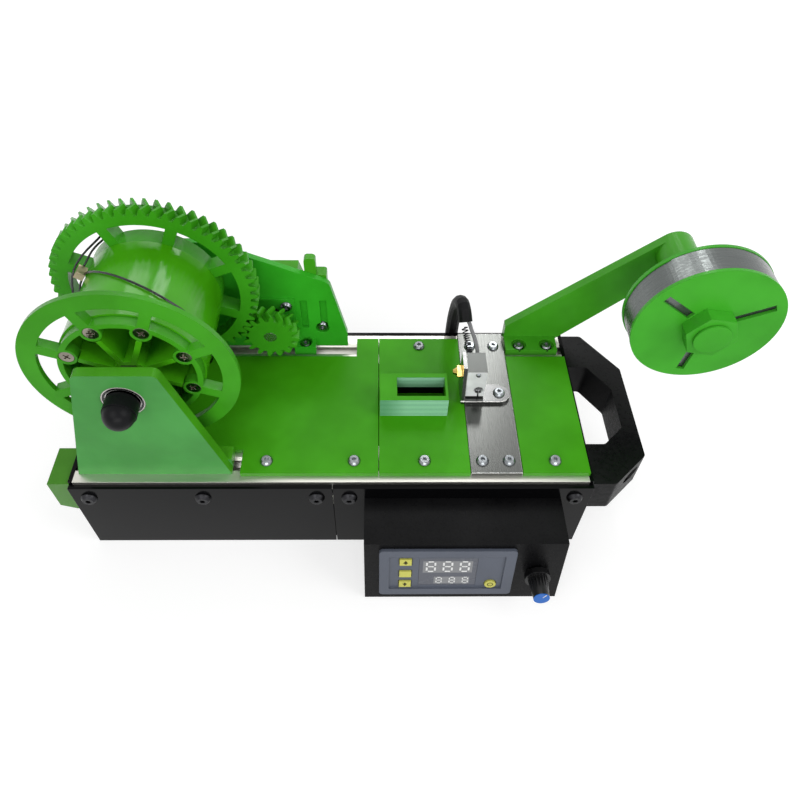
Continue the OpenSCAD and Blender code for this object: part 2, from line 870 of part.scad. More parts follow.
module slot_nuts() {
  color(zinc) {
    for (p = concat(deck_places(), foot_places(), front_foot_places(), arm_places()))
      translate([p[0], p[1], body_h - slot_lip]) slot_nut(deck_screw_d);
    for (x = panel_places()) {
      translate([x, -half_w + slot_lip, rail_z]) rotate([90, 0, 0]) slot_nut(panel_screw_d);
      translate([x, half_w - slot_lip, rail_z]) rotate([-90, 0, 0]) slot_nut(panel_screw_d);
    }
  }
}

// ---- spool supports and bearings ----

module support_outline() {
  polygon(rounded([[spool_x - support_foot / 2, body_h], [spool_x + support_foot / 2, body_h],
    [spool_x + support_top / 2, body_h + support_h], [spool_x - support_top / 2, body_h + support_h]],
    [0, 0, support_round, support_round]));
}

module foot_block(x, y, w, l) {
  translate([x, y, body_h]) cube([w, l, foot_h]);
}

module foot_hole(p) {
  rod_z(p[0], p[1], body_h - over, foot_h + 2 * over, deck_screw_d + hole_clear);
  rod_z(p[0], p[1], body_h + foot_h - counter_t, counter_t + over, counter_d);
}

// Bearing seat: open towards the given side, with a lip at the other
module seat_cut(y, dir) {
  rod_y(spool_x, spool_z, dir > 0 ? y - over : y - bearing_w, bearing_w + over,
    bearing_od + 2 * seat_gap);
  rod_y(spool_x, spool_z, y - (bearing_w + bearing_lip + over), 2 * (bearing_w + bearing_lip + over),
    bearing_od - 2 * bearing_lip);
}

module support_front() {
  boss = bearing_w + bearing_lip;
  color(green) difference() {
    union() {
      slab(sup_y0, support_t) support_outline();
      rod_y(spool_x, spool_z, sup_y0 + support_t / 2, boss - support_t / 2,
        bearing_od + 2 * bearing_wall);
      foot_block(spool_x - support_foot / 2, sup_y1 - over, support_foot, foot_l + over);
    }
    seat_cut(sup_y0, 1);
    for (p = front_foot_places()) {
      foot_hole(p);
      rod_z(p[0], p[1], body_h + foot_h, relief_h, counter_d);
    }
  }
}

// Ring with a groove between its races on both faces
module bearing(y) {
  groove = (bearing_od - axle_d) / 2;
  color(steel) translate([spool_x, y, spool_z]) rotate([-90, 0, 0]) difference() {
    cylinder(d = bearing_od, h = bearing_w);
    translate([0, 0, -over]) cylinder(r = axle_d / 2 + run_fit, h = bearing_w + 2 * over);
    for (z = [-over, bearing_w - shield_t]) translate([0, 0, z]) difference() {
      cylinder(d = bearing_od - groove * race_share, h = shield_t + over);
      translate([0, 0, -over])
        cylinder(d = axle_d + groove * race_share, h = shield_t + 3 * over);
    }
  }
}
shield_t = 0.4;
race_share = 0.5;

module bearings() {
  bearing(bear_f_y0);
  bearing(bear_r_y0);
}

// Rear bracket: bearing seat at the left, motor seat and two recesses at the right
module bracket_rear() {
  boss = bearing_w + bearing_lip;
  xr = spool_x + bracket_reach;
  color(green) difference() {
    union() {
      slab(br_y0, bracket_t) polygon(rounded([[spool_x - support_foot / 2, body_h], [xr, body_h],
        [xr, body_h + bracket_toe], [spool_x + bracket_corner, body_h + bracket_corner_h],
        [spool_x + bracket_level, body_h + support_h],
        [spool_x - support_top / 2, body_h + support_h]],
        [0, 0, over, bracket_round, bracket_round, bracket_round]));
      rod_y(spool_x, spool_z, br_y1 - boss, boss, bearing_od + 2 * bearing_wall);
      translate([seat_x0, br_y0 - seat_t, seat_z0]) cube([seat_w, seat_t + over, seat_h]);
      for (p = foot_places()) foot_block(p[0] - foot_len / 2, br_y0 - foot_l, foot_len,
        foot_l + over);
    }
    seat_cut(br_y1, -1);
    for (p = foot_places()) foot_hole(p);
    rod_y(pinion_x, pinion_z, br_y0 - boss, 2 * boss, motor_boss_d + 2 * run_gap);
    for (p = seat_screws()) rod_y(p[0], p[1], br_y0 - boss, 2 * boss, seat_screw_d + hole_clear);
    slab(br_y0 - over, recess_t + over) polygon([[rec_a_x, rec_z0], [rec_a_x + rec_w, rec_z0],
      [rec_a_x + rec_w, rec_z1], [rec_a_x, rec_z1]]);
    slab(br_y0 - over, recess_t + over) {
      polygon([[rec_b_x, rec_z0], [rec_b_x + rec_w, rec_z0], [rec_b_x + rec_w, rec_z1],
        [rec_b_x, rec_z1]]);
      translate([tab_screw_x, tab_screw_z]) circle(d = counter_d);
    }
    rod_y(tab_screw_x, tab_screw_z, br_y0 - boss, 2 * boss, seat_screw_d + hole_clear);
  }
}
bracket_round = 7;
seat_off = 9.6;
seat_x0 = pinion_x - seat_off;
seat_up = 14;
seat_z0 = body_h + seat_up;
seat_h = 30.6;
rec_w = 4.4;
rec_gap = 3.2;
rec_a_x = seat_x0 + seat_w + rec_gap;
rec_step = 8;
rec_b_x = rec_a_x + rec_w + rec_step;
rec_up = 17.5;
rec_z0 = body_h + rec_up;
rec_h = 24.5;
rec_z1 = rec_z0 + rec_h;
tab_screw_x = rec_b_x + rec_w / 2 - seat_t;
tab_screw_z = rec_z0;
seat_screw_d = 4;
seat_screw_dx = 9;
seat_screw_dz = 8;
function seat_screws() = [[pinion_x + seat_screw_dx, pinion_z + seat_screw_dz],
  [pinion_x + seat_screw_dx, pinion_z - seat_screw_dz]];

// ---- spool ----

module spoke_ring(n, r0, r1, w) {
  for (i = [0:n - 1]) rotate((i + 0.5) * 360 / n) translate([r0, -w / 2]) square([r1 - r0, w]);
}

module around(n) {
  for (i = [0:n - 1]) rotate((i + 0.5) * 360 / n) children();
}

module spool_flange() {
  r_in = flange_in_d / 2;
  color(green) translate([spool_x, 0, spool_z]) difference() {
    union() {
      slab(flange_y0, flange_t) difference() {
        circle(d = flange_d, $fn = 128);
        circle(d = flange_in_d, $fn = 128);
      }
      slab(flange_y0, spoke_t) {
        difference() {
          circle(d = drum_d - 2 * flange_lip, $fn = 96);
          circle(d = drum_d - 2 * drum_wall - 2 * flange_lip, $fn = 96);
        }
        spoke_ring(spoke_n, drum_d / 2 - drum_wall, r_in + flange_lip, spoke_w);
        around(spoke_n) translate([screw_r, 0]) circle(d = boss_d);
      }
    }
    around_y(spoke_n) countersink(flange_y0);
  }
}

// Places a child spoke_n times round the spool axis
module around_y(n) {
  for (i = [0:n - 1]) rotate([0, -(i + 0.5) * 360 / n, 0]) children();
}

module countersink(y) {
  translate([screw_r, y, 0]) rotate([-90, 0, 0]) {
    translate([0, 0, -over]) cylinder(d = screw_d + hole_clear, h = spoke_t + 2 * over);
    translate([0, 0, -over]) cylinder(d = screw_head_d + hole_clear, h = over + screw_sink);
    translate([0, 0, screw_sink]) cylinder(d1 = screw_head_d + hole_clear,
      d2 = screw_d + hole_clear, h = (screw_head_d - screw_d) / 2);
  }
}
screw_sink = 0.3;

module spool_drum() {
  bore = axle_d + 2 * run_fit;
  color(green) translate([spool_x, 0, spool_z]) difference() {
    union() {
      slab(drum_y0, gear_y0 - drum_y0) difference() {
        circle(d = drum_d, $fn = 96);
        circle(d = drum_d - 2 * drum_wall, $fn = 96);
      }
      slab(drum_y0, gear_y0 - drum_y0) around(spoke_n) translate([screw_r, 0])
        circle(d = boss_d - flange_lip);
      slab(drum_y0, gear_y0 - drum_y0)
        spoke_ring(spoke_n, hub_d / 2 - flange_lip, screw_r, rib_t);
      slab(hub_y0, drum_y0 - hub_y0 + over)
        spoke_ring(spoke_n, hub_d / 2 - flange_lip, screw_r - boss_d / 2 - fit_gap, rib_t);
      slab(hub_y0, gear_y1 - hub_y0) circle(d = hub_d);
    }
    rod_y(0, 0, hub_y0 - over, gear_y1 - hub_y0 + 2 * over, bore);
    around_y(spoke_n) {
      rod_y(screw_r, 0, drum_y0 - over, screw_len + over, screw_d);
      rod_y(screw_r, 0, gear_y0 - screw_len, screw_len + over, screw_d);
    }
  }
}

// Half width of a tooth in degrees at radius r
function tooth_half(n, r) = let(rb = gear_module * n / 2 * cos(pressure))
  90 / n + inv(pressure) - inv(r > rb ? acos(rb / r) : 0)
  - backlash / 2 / (gear_module * n / 2) * 90 / PI;
function tooth_pts(n, radii) = [for (i = [0:n - 1]) each
  [for (r = radii) r * [cos(360 * i / n - tooth_half(n, r)), sin(360 * i / n - tooth_half(n, r))],
  for (k = [len(radii) - 1:-1:0]) radii[k] * [cos(360 * i / n + tooth_half(n, radii[k])),
  sin(360 * i / n + tooth_half(n, radii[k]))]]];

// Herringbone teeth: two mirrored leaning halves, the tips of the V at mid width
module herringbone(pts, lean, steps) {
  for (m = [0, 1]) mirror([0, m, 0]) rotate([90, 0, 0])
    linear_extrude(gear_w / 2, twist = -lean, slices = steps) polygon(pts);
}

module spool_gear() {
  r_root = gear_r - gear_module * dedendum_share;
  radii = [r_root, gear_r, gear_r + gear_module * addendum_share];
  inner = drum_d / 2;
  color(green) translate([spool_x, 0, spool_z]) difference() {
    union() {
      difference() {
        translate([0, gear_y0 + gear_w / 2, 0]) rotate([0, mesh_angle, 0])
          herringbone(tooth_pts(gear_n, radii), gear_lean, 2);
        rod_y(0, 0, gear_y0 - over, gear_w + 2 * over, 2 * (r_root - gear_rim));
      }
      slab(gear_y0, gear_w) {
        difference() {
          circle(r = inner, $fn = 96);
          circle(r = inner - ring_w, $fn = 96);
        }
        spoke_ring(spoke_n, inner - flange_lip, r_root - gear_rim + flange_lip, gear_spoke_w);
      }
    }
    around_y(spoke_n) {
      rod_y(screw_r, 0, gear_y0 - over, gear_w + 2 * over, screw_d + hole_clear);
      rod_y(screw_r, 0, gear_y1 - sink_deep, sink_deep + over, screw_head_d + hole_clear);
    }
  }
}
sink_deep = 4;

// Countersunk screws in the flange and pan screws behind the gear
module spool_screws() {
  cone = (screw_head_d - screw_d) / 2;
  color(zinc) translate([spool_x, 0, spool_z]) around_y(spoke_n) {
    difference() {
      translate([screw_r, flange_y0 + screw_sink, 0]) rotate([-90, 0, 0]) {
        cylinder(d1 = screw_head_d, d2 = screw_d, h = cone);
        cylinder(d = screw_d, h = spoke_t - screw_sink + screw_len - over);
      }
      for (a = [0, 90]) translate([screw_r, flange_y0 + screw_sink, 0]) rotate([0, a + 22.5, 0])
        translate([-cross_l / 2, -over, -cross_w / 2]) cube([cross_l, over + cross_t, cross_w]);
    }
    translate([screw_r, gear_y1 - sink_deep, 0]) rotate([-90, 0, 0]) {
      cylinder(d = screw_head_d - hole_clear, h = sink_deep - over);
      translate([0, 0, -(gear_w - sink_deep + screw_len - over)])
        cylinder(d = screw_d, h = gear_w - sink_deep + screw_len - over);
    }
  }
}
cross_l = 4;
cross_w = 0.9;
cross_t = 1.2;

module axle() {
  y0 = sup_y0 - cap_l;
  y1 = br_y1 + axle_tail;
  color(steel) rod_y(spool_x, spool_z, y0, y1 - y0, axle_d);
}
axle_tail = 5;

// Domed cap on the front end of the axle
module axle_cap() {
  r = cap_d / 2;
  y1 = sup_y0 - run_gap - cap_lip;
  color(black) translate([spool_x, 0, spool_z]) difference() {
    union() {
      rod_y(0, 0, y1 - cap_l, cap_l, cap_d);
      rod_y(0, 0, y1 - over, cap_lip + over, spacer_d);
      translate([0, y1 - cap_l, 0]) intersection() {
        sphere(r = r - cap_step);
        rod_y(0, 0, -cap_d, cap_d, cap_d);
      }
    }
    rod_y(0, 0, sup_y0 - cap_l - seat_gap, cap_l + over, axle_d + 2 * run_fit);
  }
}
cap_lip = 0.7;
cap_step = 0.5;

// Two nuts on the axle hold the hub, a spacer beside each keeps the bearings clear
module axle_nuts() {
  fr_y0 = bear_f_y0 + bearing_w + run_gap;
  re_y1 = bear_r_y0 - run_gap;
  color(zinc) translate([spool_x, 0, spool_z]) difference() {
    union() {
      translate([0, hub_y0 - axle_nut_t, 0]) rotate([-90, 0, 0])
        cylinder(r = axle_nut_af / 2 / cos(30), h = axle_nut_t, $fn = 6);
      rod_y(0, 0, fr_y0, hub_y0 - axle_nut_t - fr_y0 + over, spacer_d);
      translate([0, gear_y1, 0]) rotate([-90, 0, 0])
        cylinder(r = axle_nut_af / 2 / cos(30), h = axle_nut_t, $fn = 6);
      rod_y(0, 0, gear_y1 + over, re_y1 - gear_y1 - over, spacer_d);
    }
    rod_y(0, 0, fr_y0 - over, re_y1 - fr_y0 + 2 * over, axle_d + 2 * run_fit);
  }
}

// ---- wire on the drum ----

// Point beside the drum axis: angle, radius and y
function spool_pt(a, r, y) = [spool_x + r * cos(a), y, spool_z + r * sin(a)];
// Point measured from the front of the gear, across the axis in shares of the wire's radius
function at_gear(p) = [spool_x + wire_r * p[0], gear_y0 + p[1], spool_z + wire_r * p[2]];
wire_r = drum_d / 2 + wire_d / 2 + wire_gap;
// The loop leans: it comes forward on the right and goes back at the clamp
wire_in = 13.8;
wire_off = 11;
wire_front = drum_y0 + wire_in;
wire_back = gear_y0 - wire_off;
lean_a = 35;
back_a = 253;
clamp_a = 143;
clamp_turn = 4.2;
wire_lean = (wire_back - wire_front) / (1 - cos(clamp_a - lean_a));
function wire_y(a) = a > lean_a ? wire_front + wire_lean * (1 - cos(a - lean_a))
  : wire_front + (wire_back - wire_front) / 2 * (1 - cos((lean_a - a) * 180 / back_a));
loop_pts = [for (k = [0:44]) let(a = clamp_a - clamp_turn - k * (360 - 2 * clamp_turn) / 44)
  spool_pt(a, wire_r, wire_y(a))];
strand_pts = [for (p = [[-0.972, -22, 0.168], [-0.982, -20, 0.235], [-0.985, -18, 0.321],
  [-0.982, -16, 0.413], [-0.977, -14.2, 0.495], [-0.959, -12.4, 0.584], [-0.923, -10.4, 0.671],
  [-0.867, -7.8, 0.75], [-0.796, -5, 0.819], [-0.732, -2, 0.86], [-0.676, 1, 0.885],
  [-0.622, 4, 0.908], [-0.587, 6.5, 0.921], [-0.561, 9, 0.931], [-0.546, 11.5, 0.934]]) at_gear(p)];
tail_pts = [for (p = [[-0.837, -7.5, 0.63], [-0.783, -5.5, 0.696], [-0.735, -3.5, 0.763],
  [-0.694, -1.5, 0.811], [-0.656, 0.5, 0.839], [-0.62, 3, 0.852], [-0.577, 6, 0.857],
  [-0.536, 9, 0.867], [-0.515, 11.5, 0.875]]) at_gear(p)];

// Tube along points p: rings of s sides, square to the path, its ends capped
function tube_dir(p, i) = unit(i == 0 ? p[1] - p[0] : i == len(p) - 1 ? p[i] - p[i - 1]
  : unit(p[i + 1] - p[i]) + unit(p[i] - p[i - 1]));
function tube_ring(c, t, up, r, s) = let(u = unit(cross(t, up)), v = cross(u, t))
  [for (j = [0:s - 1]) c + r * cos(360 * j / s) * u + r * sin(360 * j / s) * v];
module tube(p, d, s, up = [0, 0, 1]) {
  n = len(p);
  polyhedron(points = [for (i = [0:n - 1]) each tube_ring(p[i], tube_dir(p, i), up, d / 2, s)],
    faces = concat([[for (j = [0:s - 1]) s - 1 - j]],
    [[for (j = [0:s - 1]) (n - 1) * s + j]],
    [for (i = [0:n - 2]) for (j = [0:s - 1]) let(k = (j + 1) % s)
      each [[i * s + j, i * s + k, (i + 1) * s + k], [i * s + j, (i + 1) * s + k, (i + 1) * s + j]]]));
}

module wire_loop() {
  color(steel) {
    tube(loop_pts, wire_d, 8, [0, 1, 0]);
    tube(strand_pts, wire_d, 8, [1, 0, 0]);
    tube(tail_pts, wire_d, 8, [1, 0, 0]);
  }
}

module wire_clamp() {
  c = spool_pt(clamp_a, wire_r + clamp_s / 2 - wire_d / 2, wire_back);
  color(brass) translate(c) rotate([0, -clamp_a, 0]) difference() {
    cube([clamp_s, clamp_s + wire_d, clamp_s], center = true);
    translate([0, 0, clamp_s / 2]) cylinder(d = clamp_s / 2, h = over, center = true);
  }
}

// ---- drive ----

module pinion() {
  r_root = pinion_r - gear_module * dedendum_share;
  radii = [r_root, for (f = flank_shares) pinion_r + gear_module * addendum_share * f];
  color(green) translate([pinion_x, 0, pinion_z]) difference() {
    union() {
      translate([0, gear_y0 + gear_w / 2, 0]) rotate([0, mesh_angle + 180 - 180 / pinion_n, 0])
        herringbone(tooth_pts(pinion_n, radii), -pinion_lean, 3);
      rod_y(0, 0, gear_y1 - over, pinion_hub_t + over, pinion_hub_d);
    }
    rod_y(0, 0, gear_y0 - over, gear_w + pinion_hub_t + 2 * over, shaft_d + 2 * run_fit);
  }
}

module motor_shaft() {
  y0 = gear_y0 + seat_gap;
  color(steel) rod_y(pinion_x, pinion_z, y0, br_y1 + shaft_in - y0, shaft_d);
}
shaft_in = 8;

// Worm gear motor: gearbox with the can to its left
module motor() {
  x0 = box_x1 - box_l;
  color(zinc) difference() {
    union() {
      translate([x0, br_y1 + seat_gap, pinion_z - box_h / 2]) cube([box_l, box_w, box_h]);
      rod_y(pinion_x, pinion_z, br_y1 - motor_boss_t, motor_boss_t + over, motor_boss_d);
      rod_x(x0 - can_l, br_y1 + seat_gap + box_w / 2, pinion_z + can_up, can_l + over, can_d);
      rod_x(x0 - can_l - can_nose, br_y1 + seat_gap + box_w / 2, pinion_z + can_up,
        can_nose + over, can_d / 3);
    }
    rod_y(pinion_x, pinion_z, br_y1 - motor_boss_t - over, motor_boss_t + over + shaft_in,
      shaft_d + 2 * run_fit);
    for (p = seat_screws()) rod_y(p[0], p[1], br_y1 - over, shaft_in, seat_screw_d);
  }
}
can_up = 4;
can_nose = 2.5;

// Printed cover over the gearbox, its right side leans out and is open below
module motor_cover() {
  x0 = cover_x1 - cover_l;
  z1 = pinion_z + box_h / 2 + fit_gap + cover_wall;
  z0 = pinion_z - box_h / 2;
  g = fit_gap + cover_wall;
  color(green) difference() {
    slab(br_y1 + seat_gap, box_w + g) polygon([[x0, z0], [cover_x1 + cover_slope, z0],
      [cover_x1 + cover_slope, z1 - cover_step], [cover_x1, z1], [x0, z1]]);
    translate([box_x1 - box_l - fit_gap, br_y1 - over, z0 - over])
      cube([box_l + 2 * fit_gap, box_w + over + seat_gap + fit_gap, box_h + over + fit_gap]);
    rod_x(x0 - over, br_y1 + seat_gap + box_w / 2, pinion_z + can_up, cover_wall + 4 * over,
      can_d + 2 * fit_gap);
    slab(br_y1 - over, box_w + over - cover_wall) polygon([[box_x1 + cover_wall + fit_gap, z0 - over],
      [cover_x1 + cover_slope - cover_wall, z0 - over],
      [cover_x1 + cover_slope - cover_wall, z1 - cover_step],
      [box_x1 + cover_wall + fit_gap, z1 - cover_step + cover_slope]]);
  }
}

// Two upright tabs on a common plate behind the bracket
module guide_tabs() {
  color(green) difference() {
    union() {
      slab(br_y1 + seat_gap, tab_t) polygon(rounded([[tab_x0, tab_z0], [tab_x0 + tab_w, tab_z0],
        [tab_x0 + tab_w, tab_z1], [tab_x0, tab_z1]], [over, over, tab_w / 3, tab_w / 3]));
      slab(br_y1 + seat_gap, tab_deep) polygon(rounded([[tab_x0 + tab_w - over, tab_z0],
        [tab_x0 + 2 * tab_w - over, tab_z0], [tab_x0 + 2 * tab_w - over, tab_z2],
        [tab_x0 + tab_w - over, tab_z2]], [over, over, tab_w / 4, tab_w / 6]));
    }
    rod_y(tab_screw_x, tab_screw_z, br_y1 - over, tab_deep + 2 * over, seat_screw_d);
  }
}
tab_x0 = rec_a_x + rec_w;
tab_w = 7.2;
tab_t = 5;
tab_deep = 8;
tab_up = 11.4;
tab_z0 = body_h + tab_up;
tab_high = 73;
tab_z1 = body_h + tab_high;
tab_low = 60;
tab_z2 = body_h + tab_low;

// ---- hot end ----

angle_screw_x = angle_x0 + angle_l - angle_w / 2;
angle_screw_y = angle_y0 + angle_w / 2;
// Steel angle: flat leaf on the steel plate, upright leaf behind the nozzle
module hot_angle() {
  x1 = angle_x0 + angle_l;
  y1 = angle_y0 + angle_w;
  color(steel) difference() {
    union() {
      plate(deck_z, angle_t) {
        translate([angle_x0, angle_y0]) square([angle_l - angle_w / 2, angle_w]);
        translate([angle_screw_x, angle_screw_y]) circle(d = angle_w);
      }
      translate([angle_x0, 0, 0]) rotate([90, 0, 90]) linear_extrude(angle_t)
        polygon([[angle_y0, deck_z], [y1 + leaf_out, deck_z], [y1 + leaf_out, deck_z + angle_h],
        [angle_y0 + leaf_lean, deck_z + angle_h]]);
    }
    rod_z(angle_screw_x, angle_screw_y, deck_z - over, angle_t + 2 * over,
      deck_screw_d + hole_clear);
    rod_x(angle_x0 - over, nozzle_y, nozzle_z, angle_t + 2 * over, nozzle_neck_d + hole_clear);
  }
}
leaf_out = 4.5;
leaf_lean = 5;
nozzle_neck_d = 5.6;

module hot_screws() {
  color(zinc) {
    translate([angle_screw_x, angle_screw_y, deck_z + angle_t])
      button_screw(deck_screw_d - seat_gap, deck_head_d, deck_head_h, angle_t + deck_t);
    translate([heater_x0 + heater_w * grub_share, heater_y0, heater_z0 + heater_h - grub_drop])
      rotate([90, 0, 0]) button_screw(grub_d - seat_gap, grub_head_d, grub_head_h, 3 * grub_d);
    for (p = seat_screws()) translate([p[0], br_y0 - seat_t, p[1]]) rotate([90, 0, 0])
      button_screw(seat_screw_d, deck_head_d, deck_head_h, seat_t + bracket_t + seat_screw_in);
    translate([tab_screw_x, br_y0 + recess_t, tab_screw_z]) rotate([90, 0, 0])
      button_screw(seat_screw_d, deck_head_d, deck_head_h, bracket_t - recess_t + seat_screw_in);
  }
}
grub_d = 2;
grub_head_d = 3.2;
grub_head_h = 1;
grub_drop = 2.6;
grub_share = 0.55;
seat_screw_in = 5;

module heater_block() {
  x = bore_x;
  z = bore_z;
  color(zinc) difference() {
    translate([heater_x0, heater_y0, heater_z0]) cube([heater_w, heater_l, heater_h]);
    rod_y(x, z, heater_y0 - over, heater_l + 2 * over, heater_bore);
    translate([x - slit_w / 2, heater_y0 - over, heater_z0 - over])
      cube([slit_w, heater_l + 2 * over, z - heater_z0 + over]);
    rod_x(heater_x0 - over, nozzle_y, nozzle_z, heater_w / 2 + over, nozzle_neck_d);
    rod_x(heater_x0, nozzle_y, nozzle_z, heater_w + over, strip_hole_d);
    rod_y(heater_x0 + heater_w * grub_share, heater_z0 + heater_h - grub_drop, heater_y0 - over,
      3 * grub_d + over, grub_d);
    rod_y(spring_x, spring_z, heater_y0 + heater_l - lead_in, lead_in + over, spring_d);
  }
}
slit_w = 1;
lead_in = 3;
spring_in = 3.3;
spring_drop = 6;
spring_x = heater_x0 + spring_in;
spring_z = heater_z0 + heater_h - spring_drop;

module nozzle() {
  x1 = angle_x0 - seat_gap;
  x0 = x1 - nozzle_hex;
  color(brass) difference() {
    union() {
      translate([x0, nozzle_y, nozzle_z]) rotate([0, 90, 0]) rotate(30)
        cylinder(r = nozzle_af / 2 / cos(30), h = nozzle_hex, $fn = 6);
      translate([x0 - nozzle_cone, nozzle_y, nozzle_z]) rotate([0, 90, 0])
        cylinder(d1 = nozzle_tip_d, d2 = nozzle_neck_d, h = nozzle_cone);
      rod_x(x1 - seat_gap, nozzle_y, nozzle_z, heater_x0 + heater_w / 2 - x1, nozzle_neck_d - seat_gap);
    }
    rod_x(x0 - nozzle_cone - over, nozzle_y, nozzle_z, heater_w + 2 * nozzle_cone + over, nozzle_bore_d);
  }
}

// Leads: route points chosen by hand, from the heater block to the rear panel,
// measured from the frame's back and from the deck
function at_rear(p) = [p[0], half_w + p[1], body_h + p[2]];
sleeve_pts = [for (p = [
  [81.6, -21, 35.4], [81.2, -18.5, 38], [80.8, -16, 40.1], [80.4, -13, 41.2], [80, -9.8, 40.8],
  [79.6, -6.8, 39.2], [79.2, -4, 36.6], [78.9, -1.4, 33.2], [78.7, 1, 29.2], [78.5, 3.2, 24.6],
  [78.4, 5.2, 19.4], [78.3, 7, 13.8], [78.3, 8.6, 8], [78.3, 9.9, 2], [78.3, 10.8, -4.4], [78.3,
  11.2, -11], [78.3, 11.2, -17], [78.3, 11.2, -21.6], [78.3, 11.1, -26.6], [78.3, 10.5, -29.8], [78.3,
  9.1, -31.8], [78.3, 7.2, -32.9], [78.3, 5.4, -33.2], [78.3, 2, -33.2], [78.3, -1, -33.2]]) at_rear(p)];
sleeve_bore_share = 0.78;
sleeve_x = 78.3;
sleeve_drop = 33.2;
sleeve_z = body_h - sleeve_drop;
grommet_d = 13;
lead_pts = [for (p = [
  [bore_x, -42.8, bore_z - body_h], [bore_x, -40.2, bore_z - body_h], [bore_x, -39, bore_z -
  body_h + 1], [88.9, -38.4, 17], [89, -38.2, 20], [89, -37.6, 23], [88.8, -36, 25.4], [88.3,
  -33.6, 27.2], [87.5, -30.8, 29], [86.5, -28, 31], [85.2, -25.2, 32.9], [84.7, -23.5, 34], [84.2,
  -22.2, 34.9], [83.5, -21, 35.9], [82.9, -19.6, 37.2]]) at_rear(p)];
spring_path = [for (p = [
  [spring_x, -44.8, spring_z - body_h], [spring_x, -41.6, spring_z - body_h], [83.9, -38.4, 24.3],
  [83.6, -35.3, 25.5], [83.1, -32.4, 27], [82.5, -29.6, 28.8], [81.8, -27, 30.7], [80.95, -23.8,
  33.4]]) at_rear(p)];

// Point and helix along a broken line, evened out by a smooth blend
function path_at(p, t) = let(n = len(p) - 1, k = min(floor(t * n), n - 1), f = t * n - k,
  a = p[max(k - 1, 0)], b = p[k], c = p[k + 1], d = p[min(k + 2, n)])
  0.5 * (2 * b + (c - a) * f + (2 * a - 5 * b + 4 * c - d) * f * f
  + (3 * b - a - 3 * c + d) * f * f * f);
curls = 16;
curl_rings = 8;
spring_r = (spring_d - spring_wire) / 2 - hole_clear / 4;
// Turns of the spring round its own path
function spring_pt(i) = let(n = curls * curl_rings, t = i / n, e = 0.001,
  c = path_at(spring_path, t), d = unit(path_at(spring_path, min(t + e, 1))
  - path_at(spring_path, max(t - e, 0))), u = unit(cross(d, [1, 0, 0])), v = cross(d, u))
  c + spring_r * (cos(360 * i / curl_rings) * u + sin(360 * i / curl_rings) * v);
spring_pts = [for (i = [0:curls * curl_rings]) spring_pt(i)];
spring_gap = min([for (i = [0:len(spring_pts) - 1]) for (m = [i + curl_rings / 2:i + 2 * curl_rings])
  if (m < len(spring_pts)) norm(spring_pts[i] - spring_pts[m])]) - spring_wire;
echo(spring_least_gap = spring_gap);

module sensor_spring() {
  color(steel) tube(spring_pts, spring_wire, 6, [0.31, 0.93, 0.17]);
}

module heater_lead() {
  color([0.55, 0.55, 0.56]) tube(lead_pts, lead_d, 8);
}

// Sleeve: a hose open at its mouth, solid behind it
module lead_sleeve() {
  color(black) difference() {
    tube(sleeve_pts, sleeve_d, 12, [1, 0, 0]);
    tube([for (i = [0:3]) sleeve_pts[i] + (i == 0 ? sleeve_pts[0] - sleeve_pts[1] : [0, 0, 0])],
      sleeve_d * sleeve_bore_share, 12, [1, 0, 0]);
  }
}

module sleeve_grommet() {
  color(black) difference() {
    union() {
      rod_y(sleeve_x, sleeve_z, half_w - over, panel_t + 2 * over, grommet_d);
      rod_y(sleeve_x, sleeve_z, skin_y + fit_gap, grommet_lip, grommet_d + 2 * grommet_lip);
      rod_y(sleeve_x, sleeve_z, half_w - fit_gap - grommet_lip, grommet_lip,
        grommet_d + 2 * grommet_lip);
    }
    rod_y(sleeve_x, sleeve_z, half_w - 4 * over - grommet_lip, panel_t + 2 * grommet_lip + 8 * over,
      sleeve_d + 2 * fit_gap);
  }
}
grommet_lip = 1.6;

// ---- reel ----

module reel_arm() {
  r = arm_w / 2;
  ex = reel_x;
  ez = reel_z;
  ux = cos(arm_rise);
  uz = sin(arm_rise);
  foot_top = body_h + arm_foot_h;
  color(green) difference() {
    union() {
      translate([arm_x0, arm_y1 - arm_foot_w, body_h]) cube([arm_foot, arm_foot_w - over, arm_foot_h]);
      slab(arm_y0, arm_t) {
        polygon([[arm_x0, body_h], [arm_x0 + arm_foot, body_h],
          [arm_x0 + arm_foot, body_h + arm_toe],
          [ex + r * uz, ez - r * ux], [ex - r * uz, ez + r * ux], [arm_x0, body_h + arm_heel]]);
        translate([ex, ez]) circle(d = arm_w);
      }
      rod_y(reel_x, reel_z, reel_y1 + run_gap, arm_y1 - reel_y1 - run_gap, arm_w);
    }
    for (p = arm_places()) {
      rod_z(p[0], p[1], body_h - over, arm_foot_h + 2 * over, deck_screw_d + hole_clear);
      rod_z(p[0], p[1], body_h + arm_foot_h - counter_t + over, counter_t, counter_d + over);
    }
    rod_y(reel_x, reel_z, reel_y1, arm_y1 - reel_y1 + over, reel_axle_d - 4 * seat_gap);
  }
}
arm_toe = 2;
arm_heel = 14;

// Fixed axle: a plain pin in the arm with a head in front of the nut
module reel_axle() {
  d = reel_axle_d;
  y0 = reel_y0 - reel_nut_h - run_gap;
  color(green) {
    rod_y(reel_x, reel_z, y0, reel_y1 + run_gap - y0, d);
    rod_y(reel_x, reel_z, reel_y1, arm_y1 - reel_y1, d - 4 * seat_gap);
    rod_y(reel_x, reel_z, y0 - axle_head_t, axle_head_t, axle_head_d);
  }
}
axle_head_t = 1.2;
axle_head_d = 20;

module reel_slots() {
  for (a = [24, 144, 264]) rotate(a) translate([reel_nut_af / 2 + over, -reel_slot_w / 2])
    square([reel_d / 2 - reel_nut_af / 2 - reel_edge - over, reel_slot_w]);
}
reel_edge = 5.5;

